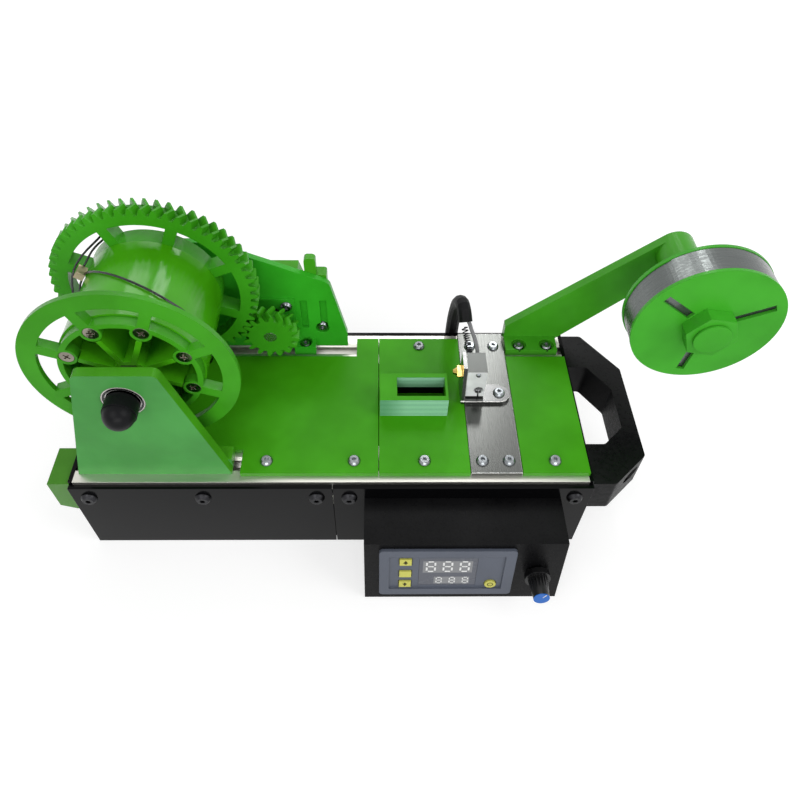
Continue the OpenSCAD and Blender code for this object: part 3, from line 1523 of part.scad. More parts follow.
module reel_disc(y) {
  color(green) translate([reel_x, 0, reel_z]) slab(y, reel_t) difference() {
    circle(d = reel_d, $fn = 128);
    circle(r = reel_axle_d / 2 + run_fit);
    reel_slots();
  }
}

module reel_disc_front() {
  reel_disc(reel_y0);
}

// Rear disc with the hub that the strip is wound on
module reel_disc_rear() {
  reel_disc(reel_y1 - reel_t);
  color(green) translate([reel_x, 0, reel_z]) slab(reel_y0 + reel_t, reel_w - 2 * reel_t + over) difference() {
    circle(d = reel_hub_d);
    circle(r = reel_axle_d / 2 + run_fit);
  }
}

// Wound strip: one outline that steps out by the strip's thickness at its loose end
module strip_roll() {
  r0 = roll_d / 2 - strip_t;
  color([0.7, 0.72, 0.74]) translate([reel_x, 0, reel_z])
    slab(reel_y0 + reel_t + fit_gap, reel_w - 2 * reel_t - 2 * fit_gap) difference() {
      polygon([for (k = [0:turn_n]) let(a = roll_end + 360 * k / turn_n)
        (r0 + strip_t * k / turn_n) * [cos(a), sin(a)]]);
      circle(d = reel_hub_d + 2 * fit_gap);
    }
}
roll_end = 128;
turn_n = 119;

module reel_nut() {
  y0 = reel_y0 - reel_nut_h;
  color(green) translate([reel_x, 0, reel_z]) difference() {
    translate([0, y0, 0]) rotate([-90, 0, 0]) rotate(10)
      cylinder(r = reel_nut_af / 2 / cos(30), h = reel_nut_h, $fn = 6);
    rod_y(0, 0, y0 - over, reel_nut_h + 2 * over, reel_axle_d + 2 * run_fit);
  }
}

// ---- control box ----

// Places children in the plane of the tilted face: x along the box, y up the
// face from its foot, z out of the face
module on_face() {
  translate([ctl_x0, -skin_y - ctl_foot, ctl_z0]) rotate([90 - face_tilt, 0, 0]) children();
}
function face_v(u) = face_len - u;

module control_box() {
  color(black) difference() {
    translate([ctl_x0, 0, 0]) rotate([90, 0, 90]) linear_extrude(ctl_l) polygon([
      [-skin_y, ctl_z0], [-skin_y - ctl_foot, ctl_z0], [-skin_y - ctl_top, ctl_z1],
      [-skin_y, ctl_z1]]);
    translate([ctl_x0 + ctl_wall, 0, 0]) rotate([90, 0, 90])
      linear_extrude(ctl_l - 2 * ctl_wall) polygon([[-skin_y - ctl_wall, ctl_z0 - over],
      [-skin_y - ctl_foot + ctl_wall * 1.2, ctl_z0 - over],
      [-skin_y - ctl_top + ctl_wall * 0.8, ctl_z1 - ctl_wall], [-skin_y - ctl_wall, ctl_z1 - ctl_wall]]);
    on_face() {
      translate([bezel_x + case_in - fit_gap, face_v(bezel_u + bezel_h) + case_in - fit_gap, -2 * ctl_wall])
        cube([bezel_l - 2 * (case_in - fit_gap), bezel_h - 2 * (case_in - fit_gap), 4 * ctl_wall]);
      translate([knob_x, face_v(knob_u), -2 * ctl_wall]) cylinder(d = pot_d + 2 * seat_gap, h = 4 * ctl_wall);
    }
  }
}
case_in = 2;

// Controller: bezel in front of the box face, its case and the control's bush behind
module controller() {
  fx = bezel_x + field_x;
  fv = face_v(bezel_u + field_u + field_h);
  color([0.28, 0.29, 0.3]) on_face() difference() {
    union() {
      translate([bezel_x, face_v(bezel_u + bezel_h), 0]) linear_extrude(bezel_t)
        polygon(rounded([[0, 0], [bezel_l, 0], [bezel_l, bezel_h], [0, bezel_h]], [for (i = [0:3]) bezel_r]));
      translate([bezel_x + case_in, face_v(bezel_u + bezel_h) + case_in, -case_t])
        cube([bezel_l - 2 * case_in, bezel_h - 2 * case_in, case_t + over]);
    }
    translate([fx, fv, bezel_t - field_t]) cube([field_l, field_h, field_t + over]);
    for (s = key_us_share) translate([key_x + bezel_x - key_gap, face_v(bezel_u + bezel_h * s) - key_h / 2 - key_gap,
      bezel_t - field_t - key_stem])
      cube([key_l + 2 * key_gap, key_h + 2 * key_gap, field_t + key_stem + over]);
    translate([bezel_x + round_x, face_v(bezel_u + round_u), bezel_t - field_t - key_stem])
      cylinder(d = key_d + 2 * key_gap, h = field_t + key_stem + over);
    translate([bezel_x + disp_x, face_v(bezel_u + disp_u + disp_h), bezel_t - field_t - disp_t])
      cube([disp_l, disp_h, disp_t + over]);
  }
  color(zinc) on_face() translate([knob_x, face_v(knob_u), 0]) difference() {
    union() {
      translate([0, 0, -pot_body]) cylinder(d = pot_body_d, h = pot_body - ctl_wall - fit_gap);
      translate([0, 0, -pot_body]) cylinder(d = pot_d, h = pot_body + pot_out);
    }
    translate([0, 0, -pot_shaft_in]) cylinder(d = pot_shaft_d + 2 * run_fit, h = pot_shaft_in + pot_out + over);
  }
}
disp_x = 23.2;
disp_u = 8.4;
disp_l = 34;
disp_h = 26.4;
disp_t = 1;
pot_body = 12;
pot_body_d = 15;
pot_out = 1;
pot_shaft_in = 8;

// Seven segment digit, s tall, its lower left corner at the origin
module digit(s, n) {
  w = s * digit_shares[0];
  b = s * digit_shares[1];
  seg = [[0.5, 1, 0], [1, 0.75, 1], [1, 0.25, 1], [0.5, 0, 0], [0, 0.25, 1], [0, 0.75, 1], [0.5, 0.5, 0]];
  for (k = n) translate([seg[k][0] * w, seg[k][1] * s]) square(seg[k][2] == 0
    ? [w - 1.5 * b, b] : [b, s / 2 - 1.5 * b], center = true);
}

// Display window with raised segments: three large digits over three small ones
module display() {
  t = disp_t - seat_gap;
  color([0.9, 0.92, 0.9]) on_face() translate([bezel_x + disp_x + seat_gap,
    face_v(bezel_u + disp_u + disp_h) + seat_gap, bezel_t - field_t - disp_t]) {
    linear_extrude(t) square([disp_l - 2 * seat_gap, disp_h - 2 * seat_gap]);
    translate([0, 0, t - seat_gap / 2]) linear_extrude(2 * seat_gap) {
      for (i = [0:2]) translate([disp_l * (big_shares[0] + big_shares[1] * i),
        disp_h * big_shares[2]]) digit(big_digit, [0:6]);
      for (i = [0:2]) translate([disp_l * (small_shares[0] + small_shares[1] * i),
        disp_h * small_shares[2]]) digit(small_digit, [0:6]);
    }
  }
}
digit_shares = [0.52, 0.12];
big_shares = [0.13, 0.29, 0.52];
small_shares = [0.31, 0.23, 0.07];
big_digit = 9.4;
small_digit = 5.8;

// Key k of the column at the left of the field
module small_key(k) {
  color([0.9, 0.8, 0.15]) on_face() translate([bezel_x + key_x,
    face_v(bezel_u + bezel_h * key_us_share[k]) - key_h / 2, bezel_t - field_t - key_stem + key_room])
    cube([key_l, key_h, key_stem - key_room + key_out]);
}
key_room = 0.8;

module keys_panel_up() {
  small_key(0);
}

module keys_panel_set() {
  small_key(1);
}

module keys_panel_down() {
  small_key(2);
}

module key_round() {
  color([0.9, 0.8, 0.15]) on_face() translate([bezel_x + round_x, face_v(bezel_u + round_u),
    bezel_t - field_t - key_stem + key_room])
    cylinder(d = key_d, h = key_stem - key_room + key_out);
}

// Knob: fluted skirt, cap and the shaft that turns in the bush
module knob() {
  color([0.15, 0.35, 0.8]) on_face() translate([knob_x, face_v(knob_u), pot_out + knob_gap]) {
    cylinder(d = knob_d, h = knob_skirt);
    difference() {
      cylinder(d1 = knob_body_d, d2 = knob_cap_d, h = knob_h - cap_t);
      for (i = [0:17]) rotate(20 * i) translate([knob_body_d * flute_share, 0, -over])
        cylinder(d = flute_d, h = knob_h);
    }
    cylinder(d = knob_cap_d, h = knob_h);
    translate([0, 0, -pot_shaft_in + knob_gap]) cylinder(d = pot_shaft_d, h = pot_shaft_in);
  }
}
knob_skirt = 3.5;
knob_body_d = 12.4;
flute_share = 0.46;
cap_t = 1.2;
flute_d = 1.4;

profile_front();
profile_rear();
panel_front_left();
panel_front_right();
panel_rear();
end_panel_left();
end_panel_right();
base_plate();
base_posts();
end_block_front();
end_block_rear();
handle();
plate_left();
plate_middle();
plate_steel();
plate_right();
cutter_block();
deck_screws();
panel_screws();
slot_nuts();
support_front();
bracket_rear();
bearings();
dc_inlet();
axle();
axle_cap();
axle_nuts();
spool_flange();
spool_drum();
spool_gear();
spool_screws();
wire_loop();
wire_clamp();
pinion();
motor_shaft();
motor();
motor_cover();
guide_tabs();
hot_angle();
hot_screws();
heater_block();
nozzle();
sensor_spring();
heater_lead();
lead_sleeve();
sleeve_grommet();
reel_arm();
reel_axle();
reel_disc_front();
reel_disc_rear();
strip_roll();
reel_nut();
control_box();
controller();
display();
keys_panel_up();
keys_panel_set();
keys_panel_down();
key_round();
knob();
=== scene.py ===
import math

import bpy
from mathutils import Matrix, Vector


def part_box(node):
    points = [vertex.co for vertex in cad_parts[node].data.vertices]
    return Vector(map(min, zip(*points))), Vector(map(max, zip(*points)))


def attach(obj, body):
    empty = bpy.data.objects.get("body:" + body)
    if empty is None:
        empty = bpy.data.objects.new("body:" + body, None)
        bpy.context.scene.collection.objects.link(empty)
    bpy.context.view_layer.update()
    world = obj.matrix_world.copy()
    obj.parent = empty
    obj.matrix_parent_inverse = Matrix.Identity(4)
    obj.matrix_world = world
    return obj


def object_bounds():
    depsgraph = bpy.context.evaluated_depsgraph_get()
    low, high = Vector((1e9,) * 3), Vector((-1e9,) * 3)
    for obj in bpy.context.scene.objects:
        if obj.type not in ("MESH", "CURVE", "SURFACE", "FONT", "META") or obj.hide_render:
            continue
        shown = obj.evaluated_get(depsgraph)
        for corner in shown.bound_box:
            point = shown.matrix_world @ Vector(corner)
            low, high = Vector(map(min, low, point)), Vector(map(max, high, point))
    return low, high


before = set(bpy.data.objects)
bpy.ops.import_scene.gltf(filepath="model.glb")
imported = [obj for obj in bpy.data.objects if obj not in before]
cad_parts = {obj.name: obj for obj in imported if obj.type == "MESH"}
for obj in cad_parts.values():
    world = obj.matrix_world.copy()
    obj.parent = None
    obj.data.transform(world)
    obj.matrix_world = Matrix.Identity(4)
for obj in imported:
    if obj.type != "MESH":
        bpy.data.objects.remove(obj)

cad_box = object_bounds()

# ---- Bench, lamps and camera ----
# A white bench top that turns up into a low back wall. Three soft boxes stand in front and a
# wide box and a tube lamp behind, whose reflections run along the drum and the reel.

def look_at(place, target):
    return (Vector(target) - Vector(place)).to_track_quat("-Z", "Y").to_euler()


def soft_box(name, place, target, wide, high, power):
    lamp = bpy.data.lights.new(name, "AREA")
    lamp.shape = "RECTANGLE"
    lamp.size, lamp.size_y, lamp.energy = wide, high, power
    holder = bpy.data.objects.new(name, lamp)
    holder.location, holder.rotation_euler = place, look_at(place, target)
    bpy.context.scene.collection.objects.link(holder)


def pick(piece, wanted, kind="FACE"):
    """Goes into edit mode on a piece, with the faces or edges selected for which wanted is true"""
    bpy.context.view_layer.objects.active = piece
    bpy.ops.object.mode_set(mode="EDIT")
    bpy.ops.mesh.select_mode(type=kind)
    bpy.ops.mesh.select_all(action="DESELECT")
    bpy.ops.object.mode_set(mode="OBJECT")
    for part in piece.data.edges if kind == "EDGE" else piece.data.polygons:
        part.select = wanted(part)
    bpy.ops.object.mode_set(mode="EDIT")


def add(tree, kind, **settings):
    made = tree.nodes.new("ShaderNode" + kind)
    for key, value in settings.items():
        setattr(made, key, value)
    return made


def math_node(tree, operation, first, second=None):
    made = add(tree, "Math", operation=operation)
    for socket, value in zip(made.inputs, (first, second)):
        if value is None:
            continue
        if isinstance(value, (int, float)):
            socket.default_value = value
        else:
            tree.links.new(value, socket)
    return made.outputs[0]


def span(tree, value, low, high, to_low=0.0, to_high=1.0, kind="SMOOTHSTEP"):
    """Takes a value's range from low to high over to the range from to_low to to_high"""
    made = add(tree, "MapRange", interpolation_type=kind)
    tree.links.new(value, made.inputs["Value"])
    for name, number in (("From Min", low), ("From Max", high),
                         ("To Min", to_low), ("To Max", to_high)):
        made.inputs[name].default_value = number
    return made.outputs["Result"]


def shown_white(tree):
    """1 for camera, glossy and see-through rays, 0 for the light that falls on the machine"""
    path = add(tree, "LightPath")
    either = math_node(tree, "MAXIMUM", path.outputs["Is Camera Ray"], path.outputs["Is Glossy Ray"])
    return math_node(tree, "MAXIMUM", either, path.outputs["Is Transmission Ray"])


bench_size, wall_lean, wall_rise = 5, 0.02, 0.4
bpy.ops.mesh.primitive_plane_add(size=bench_size, location=(0, 0, cad_box[0][2]))
bench = bpy.context.object
bench.name = "bench_top"
bpy.ops.object.transform_apply(location=True)
pick(bench, lambda edge: all(bench.data.vertices[i].co.y > 0 for i in edge.vertices), "EDGE")
bpy.ops.mesh.extrude_region_move(TRANSFORM_OT_translate={"value": (0, wall_lean, wall_rise)})
bpy.ops.object.mode_set(mode="OBJECT")

glow_start, glow_end, glow_near, glow_far = 0.3, 0.8, 0.62, 1.0
bench_finish = bpy.data.materials.new("bench_white")
bench_finish.use_nodes = True
bench_tree = bench_finish.node_tree
bench_tree.nodes.clear()
top_coat = add(bench_tree, "BsdfDiffuse")
top_coat.inputs["Color"].default_value = (0.5, 0.5, 0.5, 1)
distance = add(bench_tree, "VectorMath", operation="LENGTH")
bench_tree.links.new(add(bench_tree, "TexCoord").outputs["Object"], distance.inputs[0])
away = span(bench_tree, distance.outputs["Value"], glow_start, glow_end, glow_near, glow_far, "LINEAR")
glow = add(bench_tree, "Emission")
bench_tree.links.new(math_node(bench_tree, "MULTIPLY", shown_white(bench_tree), away),
                     glow.inputs["Strength"])
both = add(bench_tree, "AddShader")
bench_tree.links.new(top_coat.outputs[0], both.inputs[0])
bench_tree.links.new(glow.outputs[0], both.inputs[1])
bench_tree.links.new(both.outputs[0], add(bench_tree, "OutputMaterial").inputs["Surface"])
bench.data.materials.append(bench_finish)

sky_light, sky_seen = 0.42, 1.0
room = bpy.data.worlds.new("white_room")
room.use_nodes = True
bpy.context.scene.world = room
sky = room.node_tree.nodes["Background"]
sky.inputs["Color"].default_value = (1, 1, 1, 1)
sky_level = span(room.node_tree, shown_white(room.node_tree), 0, 1, sky_light, sky_seen, "LINEAR")
room.node_tree.links.new(sky_level, sky.inputs["Strength"])

soft_box("soft_box_left", (-0.55, -0.75, 1.2), (0, 0, 0.08), 0.8, 0.8, 4.6)
soft_box("soft_box_right", (0.9, -0.35, 0.9), (0, 0, 0.08), 0.6, 0.8, 4.2)
soft_box("soft_box_front", (0.1, -1.35, 0.5), (0, 0, 0.06), 1.1, 0.5, 6.6)
soft_box("soft_box_back", (-0.20, 0.70, 0.82), (-0.10, 0, 0.16), 0.38, 0.32, 1.3)
soft_box("tube_lamp", (0.235, 0.70, 0.75), (-0.10, 0, 0.16), 0.08, 0.5, 1.5)

scene = bpy.context.scene
scene.view_settings.view_transform = "Standard"
lens = bpy.data.cameras.new("photo_camera")
lens.lens, lens.sensor_width = 31.558, 36.0
lens.shift_x, lens.shift_y = 0.0147, -0.0469
lens.clip_start, lens.clip_end = 0.01, 20
camera = bpy.data.objects.new("photo_camera", lens)
scene.collection.objects.link(camera)
camera_place = (0.026753, -0.272045, 0.418424)
turn, down, roll = -0.021, 0.856, -0.017
right = Vector((math.cos(turn), math.sin(turn), 0))
ahead = Vector((-math.sin(turn) * math.cos(down), math.cos(turn) * math.cos(down), -math.sin(down)))
below = ahead.cross(right)
side = math.cos(roll) * right + math.sin(roll) * below
foot = -math.sin(roll) * right + math.cos(roll) * below
camera.matrix_world = (Matrix.Translation(camera_place)
                       @ Matrix((side, -foot, -ahead)).transposed().to_4x4())
scene.camera = camera

# ---- Frame rails ----
# Two 25 mm aluminium slot profiles, 300 mm long, drawn and clear anodised. The saw and
# the die leave fine lines along them.

def start_finish(name):
    """A new material, its node tree, its surface shader and a node for the piece's own coordinates"""
    finish = bpy.data.materials.new(name)
    finish.use_nodes = True
    tree = finish.node_tree
    return finish, tree, tree.nodes["Principled BSDF"], tree.nodes.new("ShaderNodeTexCoord")


def mixed(tree, share, first, second):
    made = add(tree, "Mix", data_type="RGBA")
    if isinstance(share, (int, float)):
        made.inputs[0].default_value = share
    else:
        tree.links.new(share, made.inputs[0])
    for socket, value in ((made.inputs[6], first), (made.inputs[7], second)):
        if isinstance(value, tuple):
            socket.default_value = (*value, 1)
        else:
            tree.links.new(value, socket)
    return made.outputs[2]


def scaled(numbers, share):
    """A colour or a place, each of its numbers times share"""
    return tuple(number * share for number in numbers)


def grain(tree, vector, scale, detail, rough):
    made = add(tree, "TexNoise")
    made.inputs["Scale"].default_value = scale
    made.inputs["Detail"].default_value = detail
    made.inputs["Roughness"].default_value = rough
    tree.links.new(vector, made.inputs["Vector"])
    return made.outputs["Fac"]


def stretched(tree, vector, scale=(1, 1, 1), turned=(0, 0, 0), moved=(0, 0, 0)):
    made = add(tree, "Mapping", vector_type="POINT")
    made.inputs["Scale"].default_value = scale
    made.inputs["Rotation"].default_value = turned
    made.inputs["Location"].default_value = moved
    tree.links.new(vector, made.inputs["Vector"])
    return made.outputs["Vector"]


def relief(tree, shader, height, depth, edge):
    """Raises the surface by height times depth in metres, over edges rounded by edge"""
    bump = add(tree, "Bump")
    bump.inputs["Strength"].default_value = 1.0
    bump.inputs["Distance"].default_value = depth
    tree.links.new(height, bump.inputs["Height"])
    if edge:
        rounded = add(tree, "Bevel", samples=4)
        rounded.inputs["Radius"].default_value = edge
        tree.links.new(rounded.outputs[0], bump.inputs["Normal"])
    tree.links.new(bump.outputs[0], shader.inputs["Normal"])


def wear(finish, *names):
    """Puts a finish on the named CAD pieces"""
    for name in names:
        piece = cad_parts[name]
        if not piece.data.materials:
            piece.data.materials.append(finish)
        for place in piece.material_slots:
            place.material = finish


def drawn_metal(name, colour, along, rough, depth=0.000004, fine=1400, dull=0.12, edge=0.0003,
                edge_highlight=None):
    """Bare metal with drawing or brushing lines along x, y or z. Its last argument, where given, is
    the colour of a painted highlight along its rounded edges, where the light would catch them"""
    finish, tree, shader, place = start_finish(name)
    scale = [fine, fine, fine]
    scale["xyz".index(along)] = fine / 90
    lines = grain(tree, stretched(tree, place.outputs["Object"], scale), 1.0, 3.0, 0.6)
    cloud = grain(tree, place.outputs["Object"], 28.0, 3.0, 0.6)
    tone = mixed(tree, math_node(tree, "MULTIPLY", lines, 0.5), colour, scaled(colour, 1 - dull * 2))
    tone = mixed(tree, math_node(tree, "MULTIPLY", cloud, dull * 2), tone, scaled(colour, 0.8))
    # Painted highlight: the colour goes pale where the rounded normal turns away from the flat one
    if edge_highlight:
        rounded = add(tree, "Bevel", samples=4)
        rounded.inputs["Radius"].default_value = edge
        apart = add(tree, "VectorMath", operation="DOT_PRODUCT")
        tree.links.new(rounded.outputs[0], apart.inputs[0])
        tree.links.new(add(tree, "NewGeometry").outputs["True Normal"], apart.inputs[1])
        tone = mixed(tree, span(tree, apart.outputs["Value"], 0.90, 0.99, 1.0, 0.0), tone, edge_highlight)
    tree.links.new(tone, shader.inputs["Base Color"])
    shader.inputs["Metallic"].default_value = 1.0
    tree.links.new(span(tree, lines, 0.2, 0.8, rough * 0.8, rough * 1.25), shader.inputs["Roughness"])
    relief(tree, shader, lines, depth, edge)
    return finish


wear(drawn_metal("anodised_aluminium", (0.70, 0.69, 0.63), "x", 0.36), "profile_front", "profile_rear")

# ---- Black sheet panels, base plate and posts ----
# Panels cut from glossy black plastic sheet cover both long sides and both ends. The base
# plate is of the same sheet, and moulded black posts hold it.

def black_sheet(name, colour=(0.0022, 0.0022, 0.0026), rough=0.14, shine=0.09):
    finish, tree, shader, place = start_finish(name)
    dust = grain(tree, place.outputs["Object"], 700.0, 2.0, 0.6)
    cloud = grain(tree, place.outputs["Object"], 16.0, 3.0, 0.5)
    speck = span(tree, dust, 0.70, 0.78)
    tree.links.new(mixed(tree, math_node(tree, "MULTIPLY", speck, 0.06), colour, (0.08, 0.08, 0.08)),
                   shader.inputs["Base Color"])
    tree.links.new(span(tree, cloud, 0.3, 0.7, rough * 0.8, rough * 1.3), shader.inputs["Roughness"])
    shader.inputs["Specular IOR Level"].default_value = shine
    relief(tree, shader, cloud, 0.00006, 0.0003)
    return finish


wear(black_sheet("black_sheet"), "panel_front_left", "panel_front_right", "panel_rear",
     "end_panel_left", "end_panel_right", "base_plate")
wear(black_sheet("black_posts", (0.010, 0.010, 0.011), 0.4, 0.2), "base_posts")

# ---- Power inlet ----
# A round moulded socket for a power plug, held in the rear panel by its own nut. It is made
# of black plastic with a dull nickel lining.

def parted(tree, vector):
    """The x, y and z of a vector"""
    made = add(tree, "SeparateXYZ")
    tree.links.new(vector, made.inputs[0])
    return made.outputs


def ring_finish(name, centre, axis, bands, rough, edge=0.0002):
    """Colours by distance from an axis: bands, two or more, are (outer radius, colour, metallic)"""
    finish, tree, shader, place = start_finish(name)
    own = parted(tree, stretched(tree, place.outputs["Object"], moved=scaled(centre, -1)))
    flat = [own[i] for i in range(3) if i != "xyz".index(axis)]
    radius = math_node(tree, "SQRT", math_node(tree, "ADD", math_node(tree, "POWER", flat[0], 2.0),
                                               math_node(tree, "POWER", flat[1], 2.0)))
    colour, metallic = bands[0][1], float(bands[0][2])
    for (outer, _, _), (_, tone, hard) in zip(bands, bands[1:]):
        past = math_node(tree, "GREATER_THAN", radius, outer)
        colour = mixed(tree, past, colour, tone)
        made = add(tree, "Mix", data_type="FLOAT")
        tree.links.new(past, made.inputs[0])
        if isinstance(metallic, float):
            made.inputs[2].default_value = metallic
        else:
            tree.links.new(metallic, made.inputs[2])
        made.inputs[3].default_value = float(hard)
        metallic = made.outputs[0]
    dirt = grain(tree, place.outputs["Object"], 900.0, 2.0, 0.5)
    tree.links.new(mixed(tree, math_node(tree, "MULTIPLY", dirt, 0.3), colour, (0.05, 0.05, 0.05)),
                   shader.inputs["Base Color"])
    tree.links.new(metallic, shader.inputs["Metallic"])
    tree.links.new(span(tree, dirt, 0.3, 0.7, rough * 0.8, rough * 1.3), shader.inputs["Roughness"])
    relief(tree, shader, dirt, 0.000004, edge)
    return finish


inlet_low, inlet_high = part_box("dc_inlet")
inlet_axis = ((inlet_low[0] + inlet_high[0]) / 2, 0, (inlet_low[2] + inlet_high[2]) / 2)
inlet_bands = ((0.0029, (0.22, 0.21, 0.19), 1), (1, (0.02, 0.02, 0.02), 0))
wear(ring_finish("moulded_inlet", inlet_axis, "y", inlet_bands, 0.4), "dc_inlet")

# ---- Handle and end blocks ----
# The carrying handle is printed in black, its layers lying flat. The two green end blocks
# at the left are printed standing, and their sides show the layers as fine level lines.

def wave_scale(pitch):
    """The scale of a wave texture whose lines lie pitch metres apart"""
    return 2 * math.pi / 20 / pitch


def printed(name, colour, lay, rough=0.34, shine=0.10, depth=0.00003, face_lines=0.3,
            side_rough=0.22, side_shine=0.18, face=None):
    """Printed plastic. lay is the direction in which the layers were stacked: sides square to it are
    glossy and show the layer lines, and faces across it are duller and show the faint slanting strokes
    of the bed or top layer. face, where given, is a paler, bluer colour painted on those faces: a
    painted sheen, standing for the white room reflected in them."""
    pitch, spread, edge = 0.0004, 0.10, 0.0004
    finish, tree, shader, place = start_finish(name)
    own = place.outputs["Object"]
    stack = "xyz".index(lay)
    layers = add(tree, "TexWave", wave_type="BANDS", bands_direction=lay.upper(), wave_profile="SIN")
    across = "XYZ"[(stack + 1) % 3]
    strokes = add(tree, "TexWave", wave_type="BANDS", bands_direction=across, wave_profile="SIN")
    for wave, drift in ((layers, 0.3), (strokes, 0.8)):
        wave.inputs["Scale"].default_value = wave_scale(pitch)
        wave.inputs["Distortion"].default_value = drift
        wave.inputs["Detail"].default_value = 1.0
        wave.inputs["Detail Scale"].default_value = 0.06
    tree.links.new(own, layers.inputs["Vector"])
    turned = [0, 0, 0]
    turned[stack] = math.radians(45)
    tree.links.new(stretched(tree, own, turned=tuple(turned)), strokes.inputs["Vector"])
    facing = parted(tree, place.outputs["Normal"])
    flat = span(tree, math_node(tree, "ABSOLUTE", facing[stack]), 0.86, 0.96)
    height = add(tree, "Mix", data_type="FLOAT")
    tree.links.new(flat, height.inputs[0])
    tree.links.new(layers.outputs["Fac"], height.inputs[2])
    tree.links.new(math_node(tree, "MULTIPLY", strokes.outputs["Fac"], face_lines), height.inputs[3])
    cloud = grain(tree, own, 22.0, 3.0, 0.55)
    fleck = grain(tree, own, 420.0, 2.0, 0.6)
    light = tuple(min(1.0, c * (1 + spread) + 0.004) for c in colour)
    patches = span(tree, cloud, 0.3, 0.7)
    tone = mixed(tree, patches, scaled(colour, 1 - spread * 1.6), light)
    # Painted sheen: face, where given, is a paler, bluer colour on the flat faces
    if face:
        flat_sheen_tone = mixed(tree, patches, scaled(face, 1 - spread * 1.6), scaled(face, 1 + spread))
        tone = mixed(tree, flat, tone, flat_sheen_tone)
    # Painted shade: the layer grooves are coloured darker, more on the sides than across the flat
    # faces
    groove = math_node(tree, "MULTIPLY", math_node(tree, "SUBTRACT", 1.0, height.outputs[0]),
                       span(tree, flat, 0, 1, 0.16, 0.03, "LINEAR"))
    tone = mixed(tree, groove, tone, scaled(colour, 0.55))
    tree.links.new(mixed(tree, span(tree, fleck, 0.62, 0.8, 0.0, 0.25), tone, light),
                   shader.inputs["Base Color"])
    tree.links.new(math_node(tree, "MULTIPLY", span(tree, flat, 0, 1, side_rough, rough),
                             span(tree, fleck, 0.3, 0.7, 0.85, 1.2)), shader.inputs["Roughness"])
    tree.links.new(span(tree, flat, 0, 1, side_shine, shine), shader.inputs["Specular IOR Level"])
    relief(tree, shader, height.outputs[0], depth, edge)
    return finish


wear(printed("black_print_flat", (0.0030, 0.0030, 0.0034), "z", rough=0.30, shine=0.12,
             face_lines=0.15, side_rough=0.4, side_shine=0.10), "handle")
wear(printed("green_print_blocks", (0.085, 0.29, 0.030), "z", rough=0.45),
     "end_block_front", "end_block_rear")

# ---- Deck ----
# Three printed green plates and one brushed steel plate lie on the rails. The cutter block
# stands on the middle plate, printed upright, with a lamp's shine painted on the layers of its front.

green = (0.052, 0.335, 0.004)


def cutter_print(name, low, high):
    """Green print with a painted highlight: a lamp's shine painted on the layers of its front and of
    its slot's back wall. The painted shine fades to the left, and low in the slot a painted shade
    makes it dark. low and high are the block's corners."""
    level_pitch, lit_depth, dark_depth = 0.0013, 0.0088, 0.0098
    fade_start, fade_end, fade_least = 0.002, 0.018, 0.35
    # The mint colour is a painted highlight, and the near black is a painted shade low in the slot
    groove_green, painted_mint_highlight, dark = (0.06, 0.26, 0.11), (0.42, 0.80, 0.56), (0.002, 0.004, 0.002)
    finish = printed(name, green, "z", face_lines=0.22)
    tree = finish.node_tree
    shader, place = tree.nodes["Principled BSDF"], tree.nodes["Texture Coordinate"]
    facing = parted(tree, place.outputs["Normal"])
    own = parted(tree, place.outputs["Object"])
    levels = add(tree, "TexWave", wave_type="BANDS", bands_direction="Z", wave_profile="SIN")
    levels.inputs["Scale"].default_value = wave_scale(level_pitch)
    levels.inputs["Distortion"].default_value = 0.3
    tree.links.new(place.outputs["Object"], levels.inputs["Vector"])
    crests = span(tree, levels.outputs["Fac"], 0.15, 0.45)
    fade = span(tree, own[0], low[0] + fade_start, low[0] + fade_end, fade_least, 1.0)
    # Painted highlight: mint on the crests of the front's layers, fading to the left
    shine = mixed(tree, math_node(tree, "MULTIPLY", crests, fade), groove_green, painted_mint_highlight)
    front = span(tree, facing[1], -0.7, -0.4, 1.0, 0.0)
    plain = shader.inputs["Base Color"].links[0].from_socket
    lit = mixed(tree, front, plain, shine)
    # Painted shade: low in the back half of the slot the colour goes to near black
    slot_shade = span(tree, own[2], high[2] - dark_depth, high[2] - lit_depth, 1.0, 0.0)
    behind = math_node(tree, "GREATER_THAN", own[1], (low[1] + high[1]) / 2)
    tree.links.new(mixed(tree, math_node(tree, "MULTIPLY", slot_shade, behind), lit, dark),
                   shader.inputs["Base Color"])
    return finish


wear(printed("green_print_deck", green, "z", face_lines=0.22),
     "plate_left", "plate_middle", "plate_right")
wear(cutter_print("green_print_cutter", *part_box("cutter_block")), "cutter_block")
# The last colour is a painted highlight along the plate's rounded edges
wear(drawn_metal("brushed_steel", (0.118, 0.122, 0.116), "y", 0.24, 0.0000010, 3200, 0.02, 0.0006,
                 (0.75, 0.76, 0.74)), "plate_steel")

# ---- Screws ----
# Button-head screws of zinc-plated steel hold the deck, black ones hold the panels, and
# plated nuts slide in the rail slots.

def plated(name, colour, rough):
    finish, tree, shader, place = start_finish(name)
    spots = grain(tree, place.outputs["Object"], 650.0, 3.0, 0.6)
    smear = grain(tree, place.outputs["Object"], 90.0, 2.0, 0.5)
    tree.links.new(mixed(tree, span(tree, smear, 0.3, 0.7), colour, scaled(colour, 0.72)),
                   shader.inputs["Base Color"])
    shader.inputs["Metallic"].default_value = 1.0
    tree.links.new(span(tree, spots, 0.3, 0.7, rough * 0.7, rough * 1.4), shader.inputs["Roughness"])
    relief(tree, shader, spots, 0.000003, 0.0003)
    return finish


zinc_plate = plated("zinc_plated_steel", (0.30, 0.32, 0.335), 0.2)
wear(zinc_plate, "deck_screws", "slot_nuts")
wear(plated("blackened_steel", (0.035, 0.035, 0.038), 0.35), "panel_screws")
